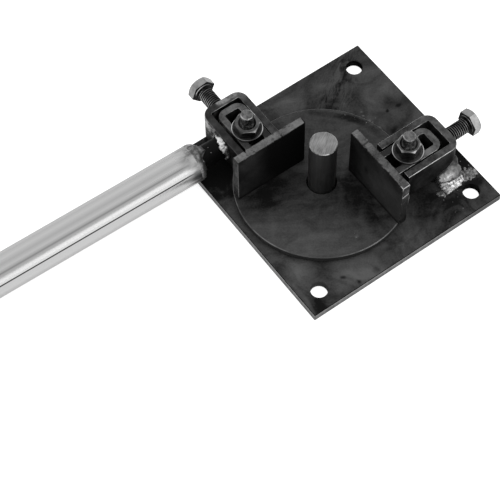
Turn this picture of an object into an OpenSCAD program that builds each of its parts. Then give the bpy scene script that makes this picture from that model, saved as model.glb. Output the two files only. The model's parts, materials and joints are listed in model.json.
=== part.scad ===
// Manual rebar bending machine, in millimetres, +Z up.
// The origin is the middle of the bolt-down plate, on its underside.
// A turntable turns about a fixed former pin and carries one jaw. The other jaw stands on the plate.
// Each jaw is welded to a bent strap that slides in a wider bent strap, set by a screw and held by a nut.

/* [Base plate] */
// Side of the square plate
plate_w = 200; // [190:5:260]
// Thickness of the plate
plate_t = 8; // [5:0.5:16]
// Distance between neighbouring bolt holes
bolt_pitch = 164; // [150:1:175]
// Diameter of a bolt hole
bolt_hole_d = 15; // [9:0.5:18]

/* [Pin and turntable] */
// Place of the pin's axis across the plate
pivot_x = -18; // [-24:0.5:-12]
// Place of the pin's axis along the plate
pivot_y = -1; // [-6:0.5:6]
// Diameter of the former pin
pin_d = 24; // [18:0.5:28]
// Height of the pin above the disc
pin_rise = 57.7; // [40:0.5:80]
// Diameter of the turntable disc
disc_d = 153; // [140:1:160]
// Thickness of the disc
disc_t = 6; // [4:0.5:10]

/* [Brackets] */
// Thickness of the bent flat bar
strap_t = 6.8; // [5:0.1:8]
// Width of the flat bar, which is the bracket's height
strap_h = 30; // [28:0.5:40]
// Length of a bracket from its open end to its closed face
bracket_l = 57; // [50:0.5:60]
// Outer radius of a bracket's two bends
bracket_bend_r = 10; // [8:0.5:13]
// Thickness of the floor plate between the arms
floor_t = 5; // [3:0.5:7]
// Distance of the fixed bracket's middle line from the pin's axis
fixed_arm_mid = 34.7; // [33:0.1:38]
// Distance of the swinging bracket's middle line from the pin's axis
swing_arm_mid = 32.2; // [31:0.1:36]

/* [Jaws and sliders] */
// Width of a jaw plate
jaw_w = 70; // [60:1:80]
// Thickness of a jaw plate
jaw_t = 7.5; // [6:0.1:10]
// Height of a jaw plate
jaw_h = 55.5; // [45:0.5:65]
// Bar gap between the pin and the fixed jaw, as set in the photographed position
fixed_bar_gap = 13.7; // [10:0.1:16]
// Bar gap between the pin and the swinging jaw, as set in the photographed position
swing_bar_gap = 14.6; // [10:0.1:17]
// Distance of the fixed jaw's middle from the pin's axis
fixed_jaw_mid = 39; // [38:0.5:46]
// Distance of the swinging jaw's middle from the pin's axis
swing_jaw_mid = 33.5; // [30:0.5:36]
// Length of a slider from the jaw to its closed face
slider_l = 60; // [54:0.5:64]
// Thickness of the flat bar that a slider is bent from
slider_t = 6.3; // [5.5:0.1:6.5]
// Outer radius of a slider's two bends
slider_bend_r = 9; // [7:0.1:11]
// Side clearance between a clamp stud and the slider's arms
stud_gap = 1.1; // [1:0.1:2]
// Side clearance between a slider and the bracket's arms
slider_gap = 1.3; // [1:0.1:2]
// How far the swinging slider lies to one side of its bracket's middle
swing_slider_lean = 0.8; // [0:0.1:0.8]
// Room behind the fixed slider inside its bracket
fixed_end_gap = 5.3; // [5.2:0.1:8]
// Room behind the swinging slider inside its bracket
swing_end_gap = 2.6; // [2.4:0.1:6]

/* [Fasteners] */
// Diameter of the clamp studs
stud_d = 12; // [10:0.5:13]
// Distance from the fixed clamp stud to its bracket's open end
fixed_stud_inset = 16; // [15:0.1:20]
// Distance from the swinging clamp stud to its bracket's open end
swing_stud_inset = 18.5; // [15:0.1:20]
// Height of the fixed stud above its nut
fixed_stud_rise = 11; // [5:0.5:20]
// Height of the swinging stud above its nut
swing_stud_rise = 12; // [5:0.5:20]
// Outer diameter of a clamp washer
washer_d = 27.5; // [22:0.5:28]
// Thickness of a clamp washer
washer_t = 2.2; // [1.5:0.1:4]
// Width of the fixed clamp nut across its flats
fixed_nut_af = 19; // [18:0.5:22]
// Width of the swinging clamp nut across its flats
swing_nut_af = 21; // [18:0.5:22]
// Height of the fixed clamp nut
fixed_nut_h = 10; // [6:0.5:12]
// Height of the swinging clamp nut, a thin one
swing_nut_h = 7.5; // [6:0.5:12]
// Depth of the countersink at each end of a clamp nut
nut_sink = 1.7; // [0.5:0.1:2]
// Diameter of the adjusting screws
screw_d = 14; // [10:0.5:16]
// Width of an adjusting screw's head across its flats
screw_af = 21; // [17:0.5:24]
// Length of the fixed jaw's adjusting screw under its head
fixed_screw_l = 37.5; // [30:0.5:60]
// Length of the swinging jaw's adjusting screw under its head
swing_screw_l = 35; // [30:0.5:60]
// Height of an adjusting screw's head
screw_head_h = 7.5; // [5:0.5:10]
// Gap between an adjusting screw and the floor plate under it
screw_floor_gap = 1.5; // [1:0.1:4]

/* [Handle] */
// Outer diameter of the handle tube
tube_d = 33.7; // [30:0.1:36]
// Wall of the handle tube
tube_wall = 3.2; // [2:0.1:4]
// Length of the handle tube
tube_l = 420; // [250:5:700]
// Diameter of the stub bar that carries the tube
stub_d = 20; // [16:0.5:24]
// Length of the stub between the bracket and the tube
stub_free = 28.5; // [20:0.5:50]
// Length of the stub inside the tube
stub_plug = 30; // [15:1:80]
// Distance from the handle's axis to the swinging bracket's closed face
handle_setback = 31.7; // [28:0.1:36]
// Angle by which the handle leans out from square
handle_splay = 1.2; // [0:0.1:3]
// Length of the tapered weld that closes the tube onto the stub
taper_weld_l = 7.5; // [4:0.1:14]

/* [Welds] */
// Leg of the fillet welds
weld_leg = 3.8; // [2:0.1:5]
// Radius of the large weld run that fixes the standing bracket
lump_r = 9; // [7:0.5:11]

/* [Clearances] */
// Gap under the turntable disc
disc_gap = 0.3; // [0.2:0.05:0.6]
// Gap between the disc and what stands still above it
disc_clear = 0.7; // [0.5:0.05:1.5]
// Gap between a jaw's bottom edge and the disc
jaw_gap = 0.4; // [0.3:0.05:1]
// Sliding gap between stacked faces that move on each other
face_gap = 0.3; // [0.2:0.05:0.5]
// Radial gap of round pieces that turn in each other
turn_gap = 0.1; // [0.05:0.01:0.1]
// Radial gap of round pieces that are fixed in each other
fixed_gap = 0.05; // [0.02:0.01:0.1]

/* [Hidden] */
$fn = 64;
over = 1;
edge_break = 0.6;
strap_inner_r = 1.5;
foot_inset = 1.7;
foot_rim_gap = 2;
pin_weld_leg = 3;
pin_recess = 0.5;
thread_tip = 1.5;
hex_face_inset = 0.3;
washer_gap = 0.5;
bead_crown = 0.6;
lump_lean = 1;
lump_skirt_r = lump_r - lump_lean;
lump_toe_r = lump_r - 3 * lump_lean;
lump_rise = lump_r / 2 + lump_lean;
lump_spread = lump_r - 2 * lump_lean;
bead_stop = 1;
hull_fn = 20;
fixed_head_turn = -8;
swing_head_turn = -20;
fixed_nut_turn = 20;
swing_nut_turn = 0;
head_face_t = 0.6;

disc_z = plate_t + disc_gap;
disc_top = disc_z + disc_t;
fixed_z = disc_top + disc_clear;
jaw_z = disc_top + jaw_gap;

slider_w = stud_d + 2 * stud_gap + 2 * slider_t;
channel_w = slider_w + 2 * slider_gap;
bracket_w = channel_w + 2 * strap_t;
fixed_stud_setback = bracket_l - fixed_stud_inset;
swing_stud_setback = bracket_l - swing_stud_inset;
screw_z = floor_t + screw_floor_gap + screw_d / 2;
swing_slider_mid = swing_arm_mid - swing_slider_lean;
slider_z = floor_t + face_gap;
slider_h = strap_h - slider_z - face_gap;
washer_z = slider_z + slider_h + face_gap / 3;
nut_z = washer_z + washer_t + face_gap / 3;

fixed_jaw_u = pin_d / 2 + fixed_bar_gap;
swing_jaw_u = pin_d / 2 + swing_bar_gap;
fixed_slider_u = fixed_jaw_u + jaw_t + slider_l;
swing_slider_u = swing_jaw_u + jaw_t + slider_l;
fixed_reach = fixed_slider_u + fixed_end_gap + strap_t;
swing_reach = swing_slider_u + swing_end_gap + strap_t;
fixed_stud_u = fixed_reach - fixed_stud_setback;
swing_stud_u = swing_reach - swing_stud_setback;

arm_face = swing_arm_mid + bracket_w / 2;
foot_w = bracket_w - 2 * foot_inset;
foot_u = disc_d / 2 + foot_rim_gap;
foot_l = fixed_reach - foot_inset - foot_u;
foot_t = fixed_z - plate_t;

// A station is the frame of one jaw: its X runs from the pin's axis out along the bracket,
// and its Z starts at the bracket's bottom.
module fixed_station() {
    translate([pivot_x, pivot_y, fixed_z]) children();
}

module swing_station() {
    translate([pivot_x, pivot_y, disc_top]) rotate([0, 0, 90]) children();
}

// The handle's own frame: Z runs out along the handle from the bracket's arm.
module handle_frame() {
    swing_station()
        translate([swing_reach - handle_setback, arm_face, strap_h / 2])
            rotate([0, 0, -handle_splay]) rotate([-90, 0, 0]) children();
}

// Flat outline that runs back from X = 0, with its two corners there rounded
module round_end(length, width, r) {
    translate([-length, -width / 2]) square([length - r, width]);
    translate([-r - over, r - width / 2]) square([r + over, width - 2 * r]);
    for (side = [-1, 1]) translate([-r, side * (width / 2 - r)]) circle(r);
}

// Flat bar bent to a U that opens towards -X
module bent_strap(length, width, height, thickness, bend_r) {
    linear_extrude(height) difference() {
        round_end(length, width, bend_r);
        translate([-thickness, 0]) round_end(length, width - 2 * thickness, strap_inner_r);
    }
}

module bracket(reach, mid) {
    difference() {
        translate([reach, mid, 0]) bent_strap(bracket_l, bracket_w, strap_h, strap_t, bracket_bend_r);
        translate([reach - strap_t - over, mid, screw_z]) rotate([0, 90, 0])
            cylinder(d = screw_d, h = strap_t + 2 * over);
    }
}

module floor_plate(reach, mid, stud_u, stud_mid) {
    length = bracket_l - 2 * strap_t;
    difference() {
        translate([reach - strap_t - strap_inner_r - length, mid - channel_w / 2, 0])
            cube([length, channel_w, floor_t]);
        translate([stud_u, stud_mid, -over]) cylinder(d = stud_d, h = floor_t + 2 * over);
    }
}

// Plain rod on Z with its far end turned down
module rod(r, length) {
    cylinder(r = r, h = length - thread_tip);
    translate([0, 0, length - thread_tip]) cylinder(r1 = r, r2 = r - thread_tip, h = thread_tip);
}

module clamp_stud(stud_u, mid, nut_h, rise) {
    translate([stud_u, mid, 0]) rod(stud_d / 2 - fixed_gap, nut_z + nut_h + rise);
}

module clamp_washer(stud_u, mid) {
    translate([stud_u, mid, washer_z]) difference() {
        cylinder(d = washer_d, h = washer_t);
        translate([0, 0, -over]) cylinder(r = stud_d / 2 + washer_gap, h = washer_t + 2 * over);
    }
}

// Hexagon standing on Z = 0, with the corners of its top, or of both ends, turned down
module hexagon(width, height, both_ends) {
    corner_r = width / sqrt(3);
    face_r = width / 2 - hex_face_inset;
    wide_r = corner_r + over;
    cone_h = (wide_r - face_r) * tan(30);
    intersection() {
        cylinder(r = corner_r, h = height, $fn = 6);
        rotate_extrude() polygon([[0, 0], [both_ends ? face_r : wide_r, 0], [wide_r, cone_h],
                                  [wide_r, height - cone_h], [face_r, height], [0, height]]);
    }
}

module clamp_nut(stud_u, mid, width, height, turn) {
    bore_r = stud_d / 2 + turn_gap;
    mouth_r = bore_r + nut_sink + over;
    translate([stud_u, mid, nut_z]) rotate([0, 0, turn]) difference() {
        hexagon(width, height, both_ends = true);
        rotate_extrude() polygon([[0, -over], [mouth_r, -over], [bore_r, nut_sink],
                                  [bore_r, height - nut_sink], [mouth_r, height + over], [0, height + over]]);
    }
}

module adjust_screw(slider_u, mid, length, turn) {
    translate([slider_u + face_gap + length, mid, screw_z]) rotate([0, -90, 0]) rotate([0, 0, turn]) {
        rod(screw_d / 2 - turn_gap, length);
        cylinder(r = screw_af / 2 - hex_face_inset, h = head_face_t);
        mirror([0, 0, 1]) hexagon(screw_af, screw_head_h, both_ends = false);
    }
}

module jaw_plate(jaw_u, mid, station_z) {
    translate([jaw_u, mid - jaw_w / 2, jaw_z - station_z]) cube([jaw_t, jaw_w, jaw_h]);
}

module jaw_slider(slider_u, mid) {
    translate([slider_u, mid, slider_z]) bent_strap(slider_l, slider_w, slider_h, slider_t, slider_bend_r);
}

// Fillet bead of crowned triangular section along +Z, in the corner between +X and +Y
module fillet_bead(leg, length) {
    linear_extrude(length) polygon([[0, 0], [leg, 0], [leg * bead_crown, leg * bead_crown], [0, leg]]);
}

module jaw_weld(jaw_u, mid) {
    for (side = [0, 1])
        translate([jaw_u + jaw_t, mid, slider_z]) mirror([0, side, 0])
            translate([0, slider_w / 2, 0]) fillet_bead(weld_leg, slider_h);
}

module base_plate() {
    color("dimgray") difference() {
        translate([-plate_w / 2, -plate_w / 2, 0]) cube([plate_w, plate_w, plate_t]);
        for (x = [-1, 1], y = [-1, 1])
            translate([x * bolt_pitch / 2, y * bolt_pitch / 2, -over])
                cylinder(d = bolt_hole_d, h = plate_t + 2 * over);
        translate([pivot_x, pivot_y, 0]) {
            translate([0, 0, -over]) cylinder(r = pin_d / 2 + fixed_gap, h = plate_t + 2 * over);
            translate([0, 0, -over])
                cylinder(r1 = pin_d / 2 + pin_weld_leg + over, r2 = pin_d / 2, h = pin_weld_leg + over);
        }
    }
}

module pivot_pin() {
    length = disc_top + pin_rise - pin_recess;
    color("silver") translate([pivot_x, pivot_y, pin_recess]) {
        cylinder(d = pin_d, h = length - edge_break);
        translate([0, 0, length - edge_break])
            cylinder(d1 = pin_d, d2 = pin_d - 2 * edge_break, h = edge_break);
    }
}

module pivot_pin_weld() {
    r = pin_d / 2;
    color("gray") translate([pivot_x, pivot_y, 0]) rotate_extrude()
        polygon([[r, pin_recess], [r + pin_weld_leg - pin_recess, pin_recess],
                 [r + fixed_gap, pin_weld_leg - fixed_gap], [r, pin_weld_leg - fixed_gap]]);
}

module turntable_disc() {
    bore_r = pin_d / 2 + turn_gap;
    rim_r = disc_d / 2;
    color("dimgray") translate([pivot_x, pivot_y, disc_z]) rotate_extrude()
        polygon([[bore_r, 0], [rim_r - edge_break, 0], [rim_r, edge_break], [rim_r, disc_t - edge_break],
                 [rim_r - edge_break, disc_t], [bore_r + 2 * edge_break, disc_t],
                 [bore_r, disc_t - 2 * edge_break]]);
}

module fixed_bracket() {
    color("dimgray") fixed_station() bracket(fixed_reach, -fixed_arm_mid);
}

module fixed_bracket_foot() {
    color("dimgray") fixed_station() translate([foot_u, -fixed_arm_mid - foot_w / 2, -foot_t])
        cube([foot_l, foot_w, foot_t]);
}

// Large weld run up the outer corner of the standing bracket, a toe on the plate,
// and the plain bead on the hidden side of the foot
module fixed_bracket_weld() {
    near = -fixed_arm_mid - bracket_w / 2;
    run_start = foot_u + lump_r;
    run_end = fixed_reach - lump_r;
    toe_end = min(fixed_reach + lump_toe_r, plate_w / 2 - pivot_x - lump_r + lump_lean);
    color("darkgray") fixed_station() {
        difference() {
            union() {
                hull() for (u = [run_start, run_end]) {
                    translate([u, near - lump_lean, lump_rise - lump_r]) sphere(lump_r, $fn = hull_fn);
                    translate([u - lump_lean, near - lump_spread, -foot_t])
                        sphere(lump_skirt_r, $fn = hull_fn);
                }
                hull() for (u = [run_end, toe_end])
                    translate([u, near - lump_r, -foot_t]) sphere(lump_toe_r, $fn = hull_fn);
            }
            translate([0, -plate_w, -foot_t - plate_w]) cube([2 * plate_w, 2 * plate_w, plate_w]);
            translate([fixed_reach, -fixed_arm_mid, 0])
                linear_extrude(strap_h) round_end(bracket_l, bracket_w, bracket_bend_r);
            translate([foot_u - foot_l, -fixed_arm_mid - foot_w / 2, -foot_t - over])
                cube([3 * foot_l, plate_w, foot_t + 2 * over]);
        }
        translate([foot_u + bead_stop, foot_w / 2 - fixed_arm_mid, -foot_t]) rotate([90, 0, 90])
            fillet_bead(weld_leg, foot_l - 2 * bead_stop);
    }
}

module fixed_floor_plate() {
    color("dimgray") fixed_station()
        floor_plate(fixed_reach, -fixed_arm_mid, fixed_stud_u, -fixed_arm_mid);
}

module fixed_clamp_stud() {
    color("gray") fixed_station()
        clamp_stud(fixed_stud_u, -fixed_arm_mid, fixed_nut_h, fixed_stud_rise);
}

module swing_bracket() {
    color("dimgray") swing_station() bracket(swing_reach, swing_arm_mid);
}

// Beads along the outside of both arms, as far as the disc reaches under them
module swing_bracket_weld() {
    start = swing_reach - bracket_l;
    color("darkgray") swing_station() for (side = [0, 1]) {
        bead_edge = swing_arm_mid + (1 - 2 * side) * bracket_w / 2 + (1 - side) * weld_leg;
        rim = sqrt(pow(disc_d / 2 - edge_break, 2) - pow(bead_edge, 2));
        translate([start, swing_arm_mid, 0]) mirror([0, side, 0]) translate([0, bracket_w / 2, 0])
            rotate([90, 0, 90]) fillet_bead(weld_leg, rim - start);
    }
}

module swing_floor_plate() {
    color("dimgray") swing_station()
        floor_plate(swing_reach, swing_arm_mid, swing_stud_u, swing_slider_mid);
}

module swing_clamp_stud() {
    color("gray") swing_station()
        clamp_stud(swing_stud_u, swing_slider_mid, swing_nut_h, swing_stud_rise);
}

// Everything on the bracket's side of the arm's outer face, to trim what is welded onto it
module arm_side() {
    swing_station() translate([0, arm_face - strap_t, -strap_h])
        cube([2 * swing_reach, strap_t, 3 * strap_h]);
}

module handle_stub() {
    color("dimgray") difference() {
        handle_frame() translate([0, 0, -over]) cylinder(d = stub_d, h = over + stub_free + stub_plug);
        arm_side();
    }
}

module stub_weld() {
    r = stub_d / 2;
    color("silver") difference() {
        handle_frame() rotate_extrude()
            polygon([[r, -over], [r + weld_leg, -over], [r + weld_leg, 0],
                     [r + weld_leg * bead_crown, weld_leg * bead_crown], [r, weld_leg]]);
        arm_side();
    }
}

module handle_tube() {
    color("lightgray") handle_frame() translate([0, 0, stub_free]) difference() {
        cylinder(d = tube_d, h = tube_l);
        translate([0, 0, -over]) cylinder(d = tube_d - 2 * tube_wall, h = tube_l + 2 * over);
    }
}

module handle_weld() {
    r = stub_d / 2;
    rim_r = tube_d / 2;
    color("silver") handle_frame() translate([0, 0, stub_free]) rotate_extrude()
        polygon([[r, 0], [rim_r, 0], [r + (rim_r - r) * bead_crown, -taper_weld_l * bead_crown],
                 [r + edge_break, -taper_weld_l], [r, -taper_weld_l]]);
}

module fixed_jaw_plate() {
    color("dimgray") fixed_station() jaw_plate(fixed_jaw_u, -fixed_jaw_mid, fixed_z);
}

module fixed_jaw_slider() {
    color("gray") fixed_station() jaw_slider(fixed_slider_u, -fixed_arm_mid);
}

module fixed_jaw_weld() {
    color("darkgray") fixed_station() jaw_weld(fixed_jaw_u, -fixed_arm_mid);
}

module swing_jaw_plate() {
    color("dimgray") swing_station() jaw_plate(swing_jaw_u, swing_jaw_mid, disc_top);
}

module swing_jaw_slider() {
    color("gray") swing_station() jaw_slider(swing_slider_u, swing_slider_mid);
}

module swing_jaw_weld() {
    color("darkgray") swing_station() jaw_weld(swing_jaw_u, swing_slider_mid);
}

module fixed_adjust_screw() {
    color("silver") fixed_station()
        adjust_screw(fixed_slider_u, -fixed_arm_mid, fixed_screw_l, fixed_head_turn);
}

module swing_adjust_screw() {
    color("silver") swing_station()
        adjust_screw(swing_slider_u, swing_arm_mid, swing_screw_l, swing_head_turn);
}

module fixed_clamp_washer() {
    color("silver") fixed_station() clamp_washer(fixed_stud_u, -fixed_arm_mid);
}

module fixed_clamp_nut() {
    color("gray") fixed_station()
        clamp_nut(fixed_stud_u, -fixed_arm_mid, fixed_nut_af, fixed_nut_h, fixed_nut_turn);
}

module swing_clamp_washer() {
    color("silver") swing_station() clamp_washer(swing_stud_u, swing_slider_mid);
}

module swing_clamp_nut() {
    color("gray") swing_station()
        clamp_nut(swing_stud_u, swing_slider_mid, swing_nut_af, swing_nut_h, swing_nut_turn);
}

base_plate();
pivot_pin();
pivot_pin_weld();
fixed_bracket();
fixed_bracket_foot();
fixed_bracket_weld();
fixed_floor_plate();
fixed_clamp_stud();
turntable_disc();
swing_bracket();
swing_bracket_weld();
swing_floor_plate();
swing_clamp_stud();
handle_stub();
stub_weld();
handle_tube();
handle_weld();
fixed_jaw_plate();
fixed_jaw_slider();
fixed_jaw_weld();
swing_jaw_plate();
swing_jaw_slider();
swing_jaw_weld();
fixed_adjust_screw();
swing_adjust_screw();
fixed_clamp_washer();
fixed_clamp_nut();
swing_clamp_washer();
swing_clamp_nut();
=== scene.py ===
"""Looks of a hand-operated rebar bender: scaled plate, bent straps, threads, welds and a plain studio."""

import json
import math
import random

import bmesh
import bpy
from bpy.props import FloatProperty, FloatVectorProperty, IntProperty, PointerProperty
from mathutils import Matrix, Vector, noise

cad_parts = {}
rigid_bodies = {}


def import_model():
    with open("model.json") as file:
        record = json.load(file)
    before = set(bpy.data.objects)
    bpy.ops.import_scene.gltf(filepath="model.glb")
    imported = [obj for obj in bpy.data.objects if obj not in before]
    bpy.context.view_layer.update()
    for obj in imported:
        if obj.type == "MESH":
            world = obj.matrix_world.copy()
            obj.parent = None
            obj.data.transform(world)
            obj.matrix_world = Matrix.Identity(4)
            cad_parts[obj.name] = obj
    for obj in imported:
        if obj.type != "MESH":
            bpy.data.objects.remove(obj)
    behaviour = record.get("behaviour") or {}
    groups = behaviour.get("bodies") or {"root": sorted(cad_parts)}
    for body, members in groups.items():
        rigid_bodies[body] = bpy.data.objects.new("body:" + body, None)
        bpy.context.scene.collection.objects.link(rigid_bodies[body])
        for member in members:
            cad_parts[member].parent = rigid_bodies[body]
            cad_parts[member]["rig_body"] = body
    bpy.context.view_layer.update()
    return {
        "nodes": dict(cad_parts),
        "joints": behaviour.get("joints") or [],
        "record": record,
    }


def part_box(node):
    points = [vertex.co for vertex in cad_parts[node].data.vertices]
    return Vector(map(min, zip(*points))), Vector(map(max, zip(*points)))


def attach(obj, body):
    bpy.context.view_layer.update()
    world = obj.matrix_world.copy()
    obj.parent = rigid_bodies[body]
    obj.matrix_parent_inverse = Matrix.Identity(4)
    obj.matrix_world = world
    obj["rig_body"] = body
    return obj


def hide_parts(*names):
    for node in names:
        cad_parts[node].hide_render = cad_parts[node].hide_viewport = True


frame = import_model()

bl_info = {
    "name": "Rebar bender looks",
    "version": (1, 0, 0),
    "blender": (4, 5, 0),
    "location": "3D View > Sidebar > Bender",
    "description": "Builds the steel, threads and welds of a hand rebar bender around its solids",
    "category": "Object",
}

MM = 0.001
UP = Vector((0, 0, 1))
MOUNTS = {mount["name"]: mount for mount in frame["record"]["mounts"]}
JOINTS = {joint["name"]: joint for joint in frame["joints"]}
PIVOT = Vector(JOINTS["turntable_turn"]["pos_m"])
PIVOT_FLOOR = Vector((PIVOT.x, PIVOT.y, 0))

# A station is the frame of one jaw: X runs out from the pin along the bracket, Z is up.
STATIONS = {
    "fixed": Matrix.Translation(PIVOT_FLOOR),
    "swing": Matrix.Translation(PIVOT_FLOOR) @ Matrix.Rotation(math.radians(90), 4, "Z"),
}


def grey(value):
    return (value, value, value)


def mm(x, y, z):
    return Vector((x, y, z)) * MM


# Half of the way between the plate's bolt holes, and the places of these holes.
BOLT_REACH = MOUNTS["base_bolts"]["dims"]["spacing_x_mm"] / 2 * MM
BOLT_HOLES = [Vector((x, y)) * BOLT_REACH for x in (-1, 1) for y in (-1, 1)]

# Gap between a pin, screw or stud and its hole, and how far a hexagon's chamfer comes in from its sides.
FIT = 0.1 * MM
HEX_CHAMFER = 0.3 * MM

NOISE_SEED = 2

TUBE_R = MOUNTS["handle_sleeve"]["dims"]["r_mm"] * MM
HANDLE_AXIS = Vector(MOUNTS["handle_sleeve"]["axis"]).normalized()
HANDLE_POINT = Vector(MOUNTS["handle_sleeve"]["pos_m"])
HANDLE_LEAN = math.atan2(HANDLE_AXIS.y, HANDLE_AXIS.x)


def half_width(node, axis=0):
    """Half of a solid's size along one axis."""
    low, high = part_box(node)
    return (high[axis] - low[axis]) / 2


def round_point(radius, angle, height=0.0):
    """Point at an angle about Z."""
    return Vector((radius * math.cos(angle), radius * math.sin(angle), height))


def handle_span(node):
    """How far along the handle's axis a solid starts and ends, from the sleeve mount's point."""
    runs = [(vert.co - HANDLE_POINT).dot(HANDLE_AXIS) for vert in frame["nodes"][node].data.vertices]
    return min(runs), max(runs)


def length_property(name, description, size):
    """A size in millimetres that a user would change."""
    return FloatProperty(name=name, description=description, default=size * MM, unit="LENGTH")


def colour_property(name, description, value):
    """A grey that a user would change."""
    return FloatVectorProperty(
        name=name, description=description, default=grey(value), subtype="COLOR", min=0, max=1)


def angle_property(name, description, degrees):
    """An angle in degrees that a user would change."""
    return FloatProperty(name=name, description=description, default=math.radians(degrees), subtype="ANGLE")


class BenderSizes(bpy.types.PropertyGroup):
    """Sizes of what the solids leave plain."""

    edge_wear: length_property("Edge wear", "Width of the worn edges of plates and bars", 0.5)
    bar_corner: length_property("Bar corner", "Rounded corner of the rolled flat bar", 0.7)
    bracket_strap: length_property("Bracket strap", "Thickness of a bracket's flat bar", 6.8)
    bracket_bend: length_property("Bracket bend", "Outer radius of a bracket's bends", 10)
    slider_strap: length_property("Slider strap", "Thickness of a slider's flat bar", 6.3)
    slider_bend: length_property("Slider bend", "Outer radius of a slider's bends", 9)
    stud_pitch: length_property("Stud pitch", "Rise of the studs' thread in one turn", 1.75)
    screw_pitch: length_property("Screw pitch", "Rise of the adjusting screws' thread in one turn", 2)
    thread_depth: length_property("Thread depth", "Height of the thread ridges", 1.1)
    head_height: length_property("Screw head", "Height of the adjusting screws' heads", 7.5)
    bead_voxel: length_property("Weld detail", "Grid size at which weld metal is fused", 0.45)
    spatter_count: IntProperty(
        name="Spatter", description="Number of weld drops round each weld", default=26)


class BenderFinishes(bpy.types.PropertyGroup):
    """Colours of the steel finishes."""

    scale_dark: colour_property("Mill scale, dark", "Darkest mill scale", 0.006)
    scale_light: colour_property("Mill scale, light", "Rubbed mill scale", 0.11)
    bar_dark: colour_property("Flat bar, dark", "Dark side of the bent flat bar", 0.012)
    bar_light: colour_property("Flat bar, light", "Rubbed edge of the bent flat bar", 0.12)
    cut_dark: colour_property("Cut face, dark", "Torn part of sheared and sawn faces", 0.035)
    cut_light: colour_property("Cut face, light", "Clean part of sheared and sawn faces", 0.22)
    # Also the colour of the painted highlights along the standing bracket's top edges.
    bright: colour_property("Bare steel", "Bare steel on worn edges", 0.5)
    # Also the black that painted shade darkens to, on walls in shade and at the turning jaw's inner end.
    soot_and_shade: colour_property("Soot", "Smoke and heat marks beside welds", 0.003)


class BenderStage(bpy.types.PropertyGroup):
    """Camera, lamps and floor."""

    floor: colour_property("Floor", "Colour of the studio floor", 0.82)
    glow: FloatProperty(
        name="Floor glow", description="Light that the floor itself shows in reflections", default=0.58)
    white: FloatProperty(
        name="Floor white", description="Light that the floor itself shows to the camera", default=0.78)
    lens: FloatProperty(name="Lens", description="Focal length in millimetres", default=124.9)
    eye: FloatVectorProperty(
        name="Camera place", description="Where the camera stands",
        default=(-0.5356, -0.6292, 1.2653), subtype="TRANSLATION")
    azimuth: angle_property("Azimuth", "Direction that the camera looks along, from +Y", -35.07)
    elevation: angle_property("Elevation", "Height of the camera above the horizon", 59.25)
    roll: angle_property("Roll", "Tilt of the camera about its own axis", -1.13)
    sky: FloatProperty(name="Sky", description="Strength of the even light from all round", default=0.4)
    overhead: FloatProperty(
        name="Overhead lamp", description="Power of the large lamp above", default=15.0, unit="POWER")
    side: FloatProperty(
        name="Side lamp", description="Power of the long lamp at the front right", default=3.0, unit="POWER")


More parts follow.
